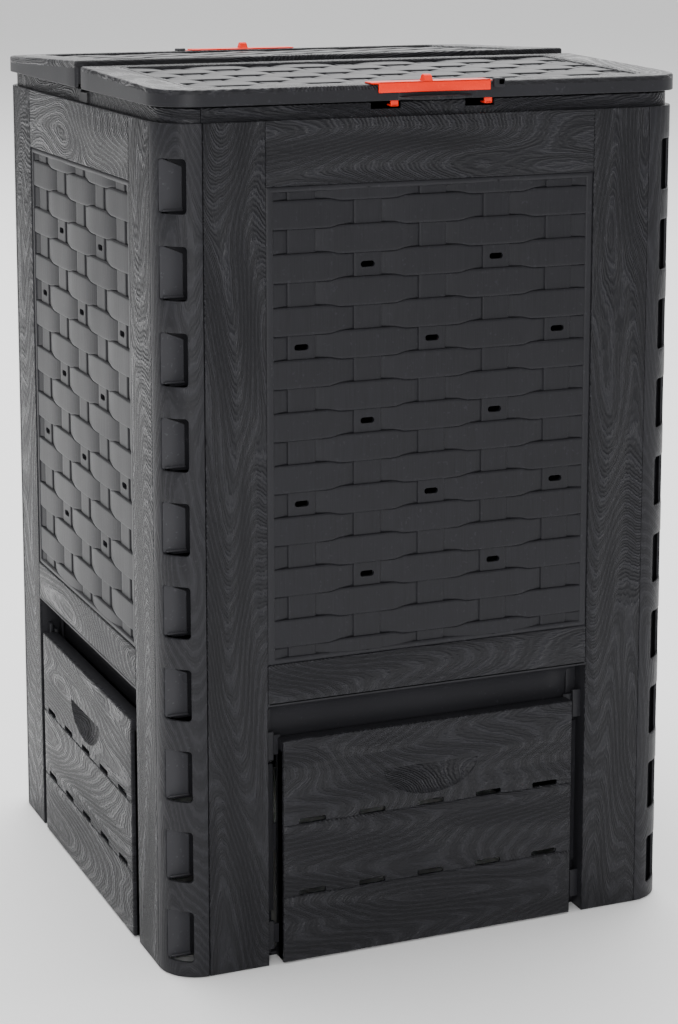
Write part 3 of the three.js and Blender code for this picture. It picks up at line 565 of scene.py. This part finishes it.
def infill_weave(pile):
    """The woven skin with its twelve vents, running a little way behind the frame."""
    half, shorter = VENT_HALF
    marks = (0.0, half, half - shorter / 2, half - shorter, half + 3.0)
    us = weave_columns(-P + 6.5, P - 6.5, COLUMN, UPRIGHT, marks, 7)
    row, place = weave_rows(range(19), VENT_ROWS, shorter / (ROW - 2 * ROW_WAVE))
    u, row = np.meshgrid(us, row)
    place = place[:, None]
    swing = ROW_WAVE * np.tanh(5.0 * np.cos(pi * u / COLUMN)) * np.where(row % 2, -1, 1)
    z = ROW_ZERO - ROW * (row + place) - swing * (1 - 2 * place)
    z = np.clip(z, INFILL_FOOT + 3.5, INFILL_TOP - 3.5)
    inside = np.flatnonzero((z.max(1) < INFILL_TOP - 3.4) & (z.min(1) > INFILL_FOOT + 3.4))
    inside = slice(inside[0], inside[-1] + 1)
    u, z, row, place = u[inside], z[inside], row[inside], place[inside]
    depth = weave_depth(u, row, place, COLUMN, UPRIGHT, ROW, deep=5.0, proud=0.9, patch=3.3)
    grain = np.stack([u, z], -1)
    middle_u = (u[1:, 1:] + u[:-1, :-1]) / 2
    middle_z = (z[1:, 1:] + z[:-1, :-1]) / 2
    keep = np.ones(middle_u.shape, bool)
    for count, k in enumerate(VENT_ROWS):
        for column in (-2, 0, 2) if count % 2 else (-1, 1):
            at_u, at_z = column * COLUMN, ROW_ZERO - ROW * (k + 0.5)
            hole = (at_u - half, at_u + half, at_z - shorter, at_z + shorter)
            keep &= ~((np.abs(middle_u - at_u) < half) & (np.abs(middle_z - at_z) < shorter))
            u, z = soften_hole(u, z, hole, shorter - 0.1)
    back = on_panel(u, np.full(u.shape, 8.0), z)
    skin(pile, on_panel(u, depth, z), back, grain, keep, finish=SATIN)


def cove(pile):
    """A quarter of a rounded square in section, from the rail's lower edge back to the hatch's top."""
    t = np.linspace(0, pi / 2, 14)
    bend = np.stack([np.sin(t) ** (2 / 3), np.cos(t) ** (2 / 3)], -1)
    outer = [0, HATCH_TOP] + bend * [28.0, 40.0]
    inner = [0, HATCH_TOP] + bend * [28.0 + WALL, 40.0 + WALL]
    outer = np.concatenate([outer, [[28.0, HATCH_TOP - 10]]])
    inner = np.concatenate([inner, [[28.0 + WALL, HATCH_TOP - 10]]])
    us = np.array([-P - 0.4, 0, P + 0.4])
    front = on_panel(us[None], outer[:, :1], outer[:, 1:])
    back = on_panel(us[None], inner[:, :1], inner[:, 1:])
    grain = np.stack(np.broadcast_arrays(us[None], outer[:, 1:]), -1)
    skin(pile, front, back, grain, finish=SMOOTH)


def jamb(pile, side):
    """The hatchway's side: return wall, keepers for the hatch's lugs, strip and flange behind."""

    def upright(reach, near, far, foot, top, radius=0.8):
        ends = side * (P - reach), side * (P + 0.5)
        bar(pile, (ends[0], near, foot), (ends[1], far, top), radius, on_panel, finish=SMOOTH)

    wall = side * P, side * (P + WALL)
    bar(pile, (wall[0], 2.5, 0), (wall[1], 31, HATCHWAY + WALL), 0.6, on_panel, finish=SMOOTH)
    upright(11.5, 24, 27, 0, HATCHWAY - WALL)
    upright(13.0, 21, 24.5, 53, 219)
    upright(21.4, 24, 27, 120, 150)
    for foot in (13.5, 226.5):
        upright(10.0, 10, 14, foot, foot + 32, 1.0)


def top_band(pile, notches):
    """The ledge on the panel's top and the band that stands in from it, with its notches."""
    bends = [-P, P, *CORNER_BENDS]
    low, high = -Q + SEAM, PATH_END
    bar(pile, (low, 1.6, TOP - WALL), (high, 8.3, TOP - 0.2), 0.5, on_panel, bends, SMOOTH)
    marks = [value for notch in notches for value in notch[:2]]
    us = lines(low, high, 0.8, 40.0, [*CORNER_BENDS, *marks])
    zs = lines(TOP - WALL, BAND_TOP, 0.9, 6.0, [notch[2] for notch in notches])
    holes = [(start, end, floor, BAND_TOP + 1) for start, end, floor in notches]
    u, z = np.meshgrid(us, zs)
    drop = roll(BAND_TOP - z, 0.9)
    keep = hole_cells(us, zs, holes)
    grain = np.stack([u, z], -1)
    front, back = on_panel(u, BAND_IN + drop, z), on_panel(u, BAND_IN + WALL, z)
    skin(pile, front, back, grain, keep, finish=WOOD)


TAB_TURN, TAB_LONG, LEDGE, HOOK_REACH, HOOK_LAP = 24, 25, 2.6, 29, 3  # degrees, then millimetres


def hooks(pile):
    """Locking tabs behind the windows, and the hooks of the other end that reach behind them."""
    face = Q + CORNER * sin(radians(TAB_TURN))
    start = -Q - np.sqrt(CORNER**2 - (face - Q) ** 2) + 1
    root = -Q + SEAM + 0.5
    for top in WINDOW_TOPS:
        foot = top - WINDOW_HEIGHT
        low, end = foot + 1, start + TAB_LONG
        outline = [(start, low), (end, low), (end, top - 10), (end - 1, top - 9), (start, top + 1)]
        # The tab and its ledge wear the clip colour: anthracite painted lighter, as painted light inside the
        # window.
        sweep(pile, outline, [face - WALL, face], straight, 0.7, CLIP_PAINTED_LIGHTER)
        ledge = (face + LEDGE, end, low + LEDGE)
        bar(pile, (face - 1, start + WALL, low), ledge, 1.2, finish=CLIP_PAINTED_LIGHTER)
        near = -face + WALL + 0.8
        hook_foot, hook_top = (root - HOOK_REACH, near, foot - HOOK_LAP), (root, near + WALL, top + HOOK_LAP)
        bar(pile, hook_foot, hook_top, 0.9, finish=SMOOTH)
    edge = -Q + SEAM
    reach = -face + 3 * WALL + 0.8
    bar(pile, (edge, -A + 2.5, 0), (edge + WALL, reach, TOP - WALL), 0.6, finish=SMOOTH)
    bar(pile, (A - 9, -Q - SEAM - WALL, 0), (A - 2.5, -Q - SEAM, TOP - WALL), 0.6, finish=SMOOTH)


def side_panel(notches):
    """The whole moulding, drawn as the front one."""
    pile = Pile()
    left, right = (-Q + SEAM, -P), (P, Q)
    for us in (left, right):
        board(pile, on_panel, lines(*us), lines(0, TOP, step=1e9), True)
    corner_wrap(pile)
    board(pile, on_panel, lines(-P, P, step=1e9), lines(INFILL_TOP, TOP), False)
    board(pile, on_panel, lines(-P, P, 1.8, 1e9), lines(HATCHWAY, INFILL_FOOT, 1.8), False, edge=1.8)
    infill_frame(pile)
    infill_weave(pile)
    cove(pile)
    jamb(pile, -1)
    jamb(pile, 1)
    top_band(pile, notches)
    hooks(pile)
    bar(pile, (-P - 0.5, 24, 0), (P + 0.5, 36, 4), 0.8, on_panel, finish=SMOOTH)
    bar(pile, (-Q + SEAM, 2.5, 0), (-P, 12, WALL), 0.6, on_panel, finish=SMOOTH)
    bar(pile, (P, 2.5, 0), (PATH_END, 12, WALL), 0.6, on_panel, CORNER_BENDS, SMOOTH)
    return pile


# %% Four side panels
FEET, FOOT_HALF, TRAVEL = (-45.0, 63.0), 5.5, 19.0
BEAM_HALF, BEAM_Y = 15.1, -19.0
foot_notches = [(x - FOOT_HALF - TRAVEL - 1, x + FOOT_HALF + 3, BAND_TOP - 7) for x in FEET]
beam_right = [(BEAM_Y - BEAM_HALF, BEAM_Y + BEAM_HALF, TOP + 0.4)]
beam_left = [(-BEAM_Y - BEAM_HALF, -BEAM_Y + BEAM_HALF, TOP + 0.4)]
SIDES = ["front", "right", "rear", "left"]
latched = side_panel(foot_notches)
for turn, made in enumerate([latched, side_panel(beam_right), latched, side_panel(beam_left)]):
    name = SIDES[turn] + "_panel"
    piece = made.build(name + "_skin", FINISHES, turn, shift=0.73 * turn)
    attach(piece, "bin")
    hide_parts(name)

# %% [markdown]
# ## Hatch
# Three boards moulded as one door, with a shallow groove between them, a row of five air slots above each
# groove and a half-moon finger grip. The grip's rim is a half ellipse under a straight edge: the grid
# lines bend to follow it, so that the rim is a clean line and the bowl behind it is an even hollow. Walls
# run back from its rim, and four lugs stand out behind the keepers of the hatchway.

# %% Hatch surface
GROOVES, SLOT_HALF, SLOT_TALL = (155.0, 74.5), 15.5, 6.0
GRIP_TOP, GRIP_HALF, GRIP_TALL, GRIP_DEEP = 202.5, 56.0, 34.0, 14.0


def on_hatch(u, depth, z):
    """The hatch's own space: across, inwards from its face, and up."""
    return np.stack(np.broadcast_arrays(u, -A - PROUD + depth, z), -1)


def hatch_face(pile):
    """The three boards with slots and grip, as one depth over a bent grid."""
    holes = []
    for groove in GROOVES:
        for k in range(-2, 3):
            middle = 69.8 * k
            foot = groove + 0.5
            holes.append((middle - SLOT_HALF, middle + SLOT_HALF, foot, foot + SLOT_TALL))
    tips = GRIP_HALF * np.sin(np.linspace(-pi / 2, pi / 2, 37))
    marks = np.concatenate([hole_lines(h[0], h[1], 2.0) for h in holes[:5]])
    us = lines(-HALF_HATCH, HALF_HATCH, 1.5, 30.0, [*tips, *marks])
    groove_at = [-1.7, -1.2, -0.6, 0, 0.45]
    marks = np.concatenate([hole_lines(h[2], h[3], 2.0) for h in (holes[0], holes[5])])
    marks = np.concatenate([marks, *[np.array(groove_at) + g for g in GROOVES]])
    below = lines(HATCH_FOOT, 164.0, 1.5, 60.0, marks)
    above = lines(GRIP_TOP + 1.0, HATCH_TOP, 1.5, 60.0)
    above = above[above > GRIP_TOP + 1.2]
    u = us[None]
    inside = np.clip(1 - (u / GRIP_HALF) ** 2, 0, 1)
    rim = np.minimum(GRIP_TOP - GRIP_TALL * np.sqrt(inside), GRIP_TOP - 0.2)
    climb = np.linspace(0, 1, 6)[1:-1, None]
    bowl = np.array([0, 0.03, 0.07, 0.13, 0.21, 0.3, 0.4, 0.5, 0.6, 0.7, 0.8, 0.9, 0.97, 1])[:, None]
    z = np.concatenate(
        [
            below[:, None] + 0 * u,
            164.0 + (rim - 164.0) * climb,
            rim + (GRIP_TOP - rim) * bowl,
            np.full((1, len(us)), GRIP_TOP + 0.5),
            np.full((1, len(us)), GRIP_TOP + 1.1),
            above[:, None] + 0 * u,
        ]
    )
    u = us[None] + 0 * z
    drop = np.maximum(roll(HALF_HATCH - np.abs(u), 1.5), roll(np.minimum(z - HATCH_FOOT, HATCH_TOP - z), 1.5))
    for groove in GROOVES:
        drop = np.maximum(drop, 1.3 * np.clip(1 - np.abs(z - groove + 0.4) / 1.1, 0, 1))
    radial = (u / GRIP_HALF) ** 2 + ((GRIP_TOP - z) / GRIP_TALL) ** 2
    hollow = GRIP_DEEP * np.clip(1 - radial, 0, 1) ** 0.75
    in_grip = (z <= GRIP_TOP + 0.01) & (np.abs(u) < GRIP_HALF)
    drop = np.maximum(drop, np.where(in_grip, hollow, 0))
    middle_u, middle_z = (u[1:, 1:] + u[:-1, :-1]) / 2, (z[1:, 1:] + z[:-1, :-1]) / 2
    keep = np.ones(middle_u.shape, bool)
    for u0, u1, z0, z1 in holes:
        keep &= ~((middle_u > u0) & (middle_u < u1) & (middle_z > z0) & (middle_z < z1))
    board_number = np.digitize(z, sorted(GROOVES))
    grain = np.stack([u + 310.0 * board_number, z + 90.0 * board_number], -1)
    for hole in holes:
        u, z = soften_hole(u, z, hole, 2.0)
    skin(pile, on_hatch(u, drop, z), on_hatch(u, drop + WALL, z), grain, keep, finish=WOOD)


def hatch():
    """The whole hatch, drawn as the front one."""
    pile = Pile()
    hatch_face(pile)
    half = HALF_HATCH
    for foot in (HATCH_FOOT, HATCH_TOP - WALL):
        bar(pile, (-half + 0.3, 2, foot), (half - 0.3, 18, foot + WALL - 0.1), 0.8, on_hatch, finish=SMOOTH)
    for side in (-1, 1):
        wall = side * (half - WALL), side * (half - 0.2)
        bar(pile, (wall[0], 2, HATCH_FOOT), (wall[1], 24, HATCH_TOP - 12), 0.8, on_hatch, finish=SMOOTH)
        bar(pile, (wall[0], 2, HATCH_FOOT), (wall[1], 18, HATCH_TOP - 0.2), 0.8, on_hatch, finish=SMOOTH)
        for foot in (18.0, 231.0):
            lug = side * (half - WALL), side * (P - 4.4)
            bar(pile, (lug[0], 16, foot), (lug[1], 19, foot + 22), 0.7, on_hatch, finish=SMOOTH)
    return pile


door = hatch()
for turn, side in enumerate(SIDES):
    name = side + "_hatch"
    piece = door.build(name + "_skin", FINISHES, turn, shift=0.41 * turn + 0.2)
    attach(piece, name)
    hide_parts(name)

# %% [markdown]
# ## Lid halves
# Each half is a shallow tray turned upside down. Its skirt and grained border are one skin carried round
# a closed outline, from the foot of the skirt over the rolled top edge to the step round the weave; the
# outline changes from the rounded bin corner outside to a nearly square one inside. The top slopes up to
# the seam. The coarser weave fills the middle. Tubular knuckles under the seam edge take the pins.

# %% Lid surface
PLACES = (-215.0, 0.0, 215.0)
KNUCKLE, BORE, SEAM_RISE = 7.0, 4.3, 4.0


def lid_outline(side, front, seam_in, radius, tight, seam, marks):
    """A closed outline, each stretch cut the same way for every inset, so that outlines pair up."""
    x, low, high = LID_HALF - side, -LID_HALF + front, seam - seam_in
    turn = np.radians(np.linspace(0, 90, 10))[1:]
    short = np.radians(np.linspace(0, 90, 4))[1:]
    run = np.linspace(0, 1, 9)[1:]
    path = [np.array([[-x, high - tight]])]
    path.append(np.stack([np.full(8, -x), high - tight + (low + radius - high + tight) * run], -1))
    middle = np.array([-x + radius, low + radius])
    path.append(middle - radius * np.stack([np.cos(turn), np.sin(turn)], -1))
    begin, end = -x + radius, x - radius
    between = np.concatenate([marks[(marks > begin) & (marks < end)], [end]])
    path.append(np.stack([between, np.full(len(between), low)], -1))
    middle = np.array([x - radius, low + radius])
    path.append(middle + radius * np.stack([np.sin(turn), -np.cos(turn)], -1))
    path.append(np.stack([np.full(8, x), low + radius + (high - tight - low - radius) * run], -1))
    middle = np.array([x - tight, high - tight])
    path.append(middle + tight * np.stack([np.cos(short), np.sin(short)], -1))
    between = np.concatenate([marks[(marks > -x + tight) & (marks < x - tight)][::-1], [-x + tight]])
    path.append(np.stack([between, np.full(len(between), high)], -1))
    middle = np.array([-x + tight, high - tight])
    path.append(middle + tight * np.stack([-np.sin(short), np.cos(short)], -1))
    return np.concatenate(path)


def lid(seam, seam_top, axis_in, axis_drop):
    """One half, drawn opening towards -Y."""
    pile = Pile()
    slope = (seam_top - LID_EDGE) / (seam + LID_HALF)

    def top_at(y):
        return LID_EDGE + slope * (y + LID_HALF)

    axis_y, axis_z = seam - axis_in, seam_top - axis_drop
    notch_drop = axis_drop - KNUCKLE - 1
    slots = [(x - FOOT_HALF - 1 - TRAVEL, x + FOOT_HALF + 1) for x in FEET]
    edges = [value for slot in slots for value in slot] + [x + d for x in PLACES for d in (-4, 4)]
    marks = np.unique(np.concatenate([edges, np.linspace(-208, 208, 17)]))
    ramp = roll_lines(2.6)
    rows = [(0.5, 0, None), (0, 0, None), (0, 0, notch_drop)]
    rows += [(2.6 - ramp[-1 - k], 0, float(roll(2.6 - ramp[-1 - k], 2.6))) for k in range(5)]
    rows = [row if row[2] is None else row for row in rows]
    inner = [3.0, 0.2, 0.5, 0.8, 0.82, 0.835, 0.85, 0.865, 0.95, 0.97, 0.99, 1.0]
    sink = [0.0, 0.0, 0.0, 0.0, 0.15, 0.9, 0.9, 0.25, 0.25, 0.9, 2.4, 4.8]
    plan, height, back_plan, back_height = [], [], [], []
    insets = np.array([47.0, 28.0, 22.0])

    def add_row(inset, share, z_of, back_inset, back_z_of):
        for target, heights, amount, z_at in (
            (plan, height, inset, z_of),
            (back_plan, back_height, back_inset, back_z_of),
        ):
            side, front, back = amount + (insets - amount) * share
            radius = 45.5 - amount + (9.0 - 45.5 + amount) * share
            tight = max(3.4 - amount * 0.5, 1.2)
            loop = lid_outline(side, front, back, radius, tight, seam, marks)
            target.append(loop)
            heights.append(z_at(loop[:, 1]))

    add_row(0.5, 0, lambda y: LID_FOOT + 0 * y, WALL, lambda y: LID_FOOT + 0 * y)
    add_row(0.0, 0, lambda y: LID_FOOT + 0.6 + 0 * y, WALL, lambda y: LID_FOOT + 0.6 + 0 * y)
    raised = LID_FOOT + SEAM_RISE
    add_row(0.0, 0, lambda y: raised + 0 * y, WALL, lambda y: raised + 0 * y)
    add_row(0.0, 0, lambda y: top_at(y) - notch_drop, WALL, lambda y: top_at(y) - notch_drop)
    for distance in ramp:
        drop = float(roll(distance, 2.6))
        lower = max(drop, 0)
        add_row(distance, 0, lambda y, d=drop: top_at(y) - d, WALL, lambda y, d=lower: top_at(y) - WALL - d / 9)
    first_top = len(plan)
    for share, drop in zip(inner, sink):
        inset, share = (3.0, 0.0) if share == 3.0 else (3.0, share)
        add_row(inset, share, lambda y, d=drop: top_at(y) - d, inset, lambda y, d=drop: top_at(y) - WALL - d)
    plan, back_plan = np.array(plan), np.array(back_plan)
    front = np.dstack([plan, np.array(height)])
    back = np.dstack([back_plan, np.array(back_height)])
    length = np.cumsum(np.linalg.norm(np.diff(plan[0], axis=0, prepend=plan[0][:1]), axis=1))
    width = np.cumsum(np.linalg.norm(np.diff(front, axis=0, prepend=front[:1]), axis=2).mean(1))
    grain = np.stack(np.broadcast_arrays(length[None], width[:, None]), -1)
    middle = (plan[0][1:] + plan[0][:-1]) / 2
    keep = np.ones((len(plan) - 1, len(middle)), bool)
    for x in PLACES:
        keep[:3, (np.abs(middle[:, 0] - x) < 4) & (middle[:, 1] > seam - 6)] = False
    keep[:2, (np.abs(middle[:, 0]) < LID_HALF - WALL) & (middle[:, 1] > seam - WALL)] = False
    for low, high in slots:
        span = (middle[:, 0] > low) & (middle[:, 0] < high) & (middle[:, 1] < -LID_HALF + 2)
        keep[first_top, span] = False
    skirt_rows = 4
    skin(pile, front[:skirt_rows], back[:skirt_rows], grain[:skirt_rows], keep[: skirt_rows - 1], True, SMOOTH)
    upper = slice(skirt_rows - 1, None)
    skin(pile, front[upper], back[upper], grain[upper], keep[upper], True, WOOD)
    lid_weave(pile, seam, top_at, insets)
    for place in PLACES:
        for x0, x1 in ((place - 9, place - 4), (place + 4, place + 9)):
            tube(pile, x0, x1, axis_y, axis_z)
            foot, top = axis_z - 4, seam_top - WALL
            bar(pile, (x0, axis_y + BORE + 0.4, foot), (x1, seam - WALL + 0.5, top), 0.6, finish=SMOOTH)
    end = 62.0
    outer = -LID_HALF - 3.0
    bar(pile, (end + 4, outer, LID_EDGE - 7), (end + 17, -LID_HALF + 2, LID_EDGE + 3), 1.2, finish=SMOOTH)
    bar(pile, (end + 8.5, outer, LID_EDGE - 5), (end + 17, -LID_HALF + 12, LID_EDGE + 3), 1.4, finish=SMOOTH)
    finger_lip(pile)
    return pile


def lid_weave(pile, seam, top_at, insets):
    """The coarse weave between the borders; its wefts run along the seam."""
    pitch, upright, lap = 51.0, 10.5, 2.5
    side, low, high = LID_HALF - insets[0] + lap, -LID_HALF + insets[1] - lap, seam - insets[2] + lap
    rows = int(round((high - low) / 33.0))
    tall = (high - low) / rows
    us = weave_columns(-side, side, pitch, upright, (0.0,), 4)
    row, place = weave_rows(range(rows), (), 0)
    u, row = np.meshgrid(us, row)
    place = place[:, None]
    swing = 2.6 * np.cos(pi * u / pitch) * np.where(row % 2, -1, 1)
    y = np.clip(high - tall * (row + place) - swing * (1 - 2 * place), low, high)
    y += (np.arange(len(y))[:, None] / len(y) - 0.5) * -0.02
    depth = weave_depth(u, row, place, pitch, upright, tall, deep=4.4, proud=1.9, patch=3.5)
    grain = np.stack([u, y], -1)
    z = top_at(y)
    skin(pile, straight(u, y, z - depth), straight(u, y, z - 8.2), grain, finish=SATIN)


def tube(pile, x0, x1, y, z):
    """A knuckle: a ring round the pin's axis with rolled ends."""
    xs = lines(x0, x1, 0.6)
    angle = np.linspace(0, 2 * pi, 29)
    radius = KNUCKLE - roll(np.minimum(xs - x0, x1 - xs), 0.6)
    outer = straight(xs[:, None], y + radius[:, None] * np.cos(angle), z + radius[:, None] * np.sin(angle))
    inner = straight(xs[:, None], y + BORE * np.cos(angle), z + BORE * np.sin(angle))
    grain = np.stack(np.broadcast_arrays(xs[:, None], 7 * angle), -1)
    skin(pile, outer, inner, grain, wrap=True, finish=SMOOTH)


def finger_lip(pile):
    """A crescent under the latch: its outer edge is an arc, rolled above and below."""
    half, reach, thick = 43.0, 10.0, 4.5
    radius = (half**2 + reach**2) / (2 * reach)
    us = half * np.sin(np.linspace(-pi / 2, pi / 2, 25))
    out = np.concatenate([[0, 0.25, 0.5, 0.7, 0.82, 0.92, 0.98, 1.0]])
    u, share = np.meshgrid(us, out)
    bulge = np.sqrt(radius**2 - u**2) - (radius - reach)
    y = -LID_HALF + 1.0 - (bulge + 1.0) * share
    rim = (1 - share) * bulge
    drop = roll(rim, 1.8) * np.clip(bulge / 2, 0, 1)
    top, foot = LID_FOOT + thick - drop, LID_FOOT + np.minimum(drop * 0.6, 1.5)
    skin(pile, straight(u, y, top), straight(u, y, foot), np.stack([u, y], -1), finish=WOOD)


lids = [
    ("front_lid", lid(-28.0, 951.0, 10.0, 13.0), 0),
    ("rear_lid", lid(10.0, 956.0, 10.0, 16.0), 2),
]
for name, made, turn in lids:
    piece = made.build(name + "_skin", FINISHES, turn, shift=0.37 * turn + 0.11)
    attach(piece, name)
    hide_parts(name)

# %% [markdown]
# ## Latches
# An orange-red bar of angle section caps the lid's edge and slides along it. A thumb fin stands on top.
# Two legs go down through slots in the lid to feet that slide under the band's keepers.

# %% Latch
LATCH_LEFT, LATCH_RIGHT = -74.0, 62.0
LATCH_OUT, PLATE_GAP, PLATE_THICK, PLATE_DEEP = 3.0, 0.4, 1.8, 20  # face beyond the lid; the top plate
LIP_INSET, LIP_TALL, LIP_THICK = 8, 11, 2.5  # the lip that hangs over the lid's edge
FIN_SIDES, FIN_RADIUS = [-13.5, -4.5], 5  # the thumb fin
LEG_GAP, LEG_THICK, NOSE_DROP, NOSE_TALL, NOSE_END = 0.4, 3, 4.6, 2.2, -286.5  # the two feet


def latch():
    """The whole slider, drawn on the front lid."""
    pile = Pile()
    face = -LID_HALF - LATCH_OUT
    under = LID_EDGE + PLATE_GAP
    top = under + PLATE_THICK
    bar(pile, (LATCH_LEFT, face, under), (LATCH_RIGHT, face + PLATE_DEEP, top), 0.8)
    lip = (LATCH_LEFT + LIP_INSET, face, top - LIP_TALL)
    bar(pile, lip, (LATCH_RIGHT, face + LIP_THICK, top), 0.8)
    middle, crown = face + 8, top + 2
    t = np.radians(np.linspace(30, 150, 9))
    arch = np.stack([middle + FIN_RADIUS * np.cos(t), crown + FIN_RADIUS * np.sin(t)], -1)
    foot = [[face + 0.3, top - 1], [face + 15.7, top - 1]]
    foot += [[face + 15.2, top + 0.6], [face + 13, top + 2.6]]
    rise = [[face + 2.6, top + 2.6], [face + 0.8, top + 0.6]]
    sweep(pile, [*foot, *arch, *rise], FIN_SIDES, straight, 0.9)
    back = -A + BAND_IN - LEG_GAP
    nose = BAND_TOP - NOSE_DROP
    for x in FEET:
        low, high = x - FOOT_HALF + 1, x + FOOT_HALF - 1
        bar(pile, (low, back - LEG_THICK, nose), (high, back, under + 0.5), 0.8)
        bar(pile, (low, back - LEG_THICK, nose), (high, NOSE_END, nose + NOSE_TALL), 0.7)
    return pile


slider = latch()
for name, turn in (("front_latch", 0), ("rear_latch", 2)):
    piece = slider.build(name + "_skin", [red], turn, shift=0.2 * turn)
    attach(piece, name)
    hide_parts(name)

# %% [markdown]
# ## Beam and pins
# The cross beam and its six pins keep their CAD shape, which is already exact; they get the same moulded
# skin as the rest, a little duller, and the pins a glossier black.

# %% Finishes on the CAD pieces
for name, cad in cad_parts.items():
    if name != "hinge_beam" and "_pin_" not in name:
        continue
    finish = lining if name == "hinge_beam" else pin_black
    if cad.material_slots:
        cad.material_slots[0].material = finish
    else:
        cad.data.materials.append(finish)
    print(name, "wears", finish.name)

# %% [markdown]
# ## Floor, light and camera
# A pale floor and broad light, as in a product studio. The surroundings are brightest behind and to the
# right, low down, where the lid tops mirror them, and a little brighter overhead than at the sides. A wide
# softbox above lights the floor, one in front lifts the front face, and a faint one stands to the left.

# %% Floor
floor_mesh = bpy.data.meshes.new("floor")
reach = 40.0  # half the floor, in metres
corners = [(-reach, -reach, 0), (reach, -reach, 0), (reach, reach, 0), (-reach, reach, 0)]
floor_mesh.from_pydata(corners, [], [(0, 1, 2, 3)])
floor = bpy.data.objects.new("floor", floor_mesh)
bpy.context.scene.collection.objects.link(floor)
floor.location.z = -0.0006  # a hair under the feet, so that no faces lie in one plane
paper = bpy.data.materials.new("pale paper")
paper.use_nodes = True
paper.node_tree.nodes["Principled BSDF"].inputs["Base Color"].default_value = (0.95, 0.95, 0.95, 1)
paper.node_tree.nodes["Principled BSDF"].inputs["Roughness"].default_value = 0.9
floor_mesh.materials.append(paper)

# %% Surroundings
world = bpy.data.worlds.new("studio")
bpy.context.scene.world = world
world.use_nodes = True
sky = world.node_tree
background = sky.nodes["Background"]
ray = node(sky, "ShaderNodeTexCoord").outputs["Generated"]


def lobe(direction, sharpness, strength):
    """Brightness round one direction: the cosine to it, raised to a power."""
    aim = Vector(direction).normalized()
    dot = node(sky, "ShaderNodeVectorMath", {0: ray, 1: aim}, operation="DOT_PRODUCT").outputs["Value"]
    narrow = maths(sky, "POWER", maths(sky, "MAXIMUM", dot, 0.0), sharpness)
    return maths(sky, "MULTIPLY", narrow, strength)


glow = maths(sky, "ADD", lobe((0.62, 0.9, 0.32), 7.0, 2.3), lobe((0.0, 0.0, 1.0), 1.2, 0.8))
sky.links.new(maths(sky, "ADD", glow, 0.2), background.inputs["Strength"])
background.inputs["Color"].default_value = (1, 1, 1, 1)


# %% Softboxes
def softbox(name, place, aim, size, power):
    """A large square light."""
    light = bpy.data.lights.new(name, "AREA")
    light.size, light.energy = size, power
    lamp = bpy.data.objects.new(name, light)
    lamp.location = place
    lamp.rotation_euler = (Vector(aim) - Vector(place)).to_track_quat("-Z", "Y").to_euler()
    bpy.context.scene.collection.objects.link(lamp)
    return lamp


softbox("left softbox", (-3.2, -0.6, 1.9), (0, 0, 0.5), 2.0, 6)
softbox("top softbox", (0.2, 3.0, 7.0), (0, 1.0, 0), 8.0, 1000)
softbox("front softbox", (-1.5, -4.0, 1.5), (0, 0, 0.5), 1.8, 95)

# %% Camera
camera_data = bpy.data.cameras.new("camera")
camera_data.lens = 85.64
camera_data.shift_y = -0.2
camera = bpy.data.objects.new("camera", camera_data)
camera.location = (-1.0717, -2.6040, 1.1345)
camera.rotation_euler = (radians(90 - 9.575), 0, radians(-22.688))
bpy.context.scene.collection.objects.link(camera)
bpy.context.scene.camera = camera
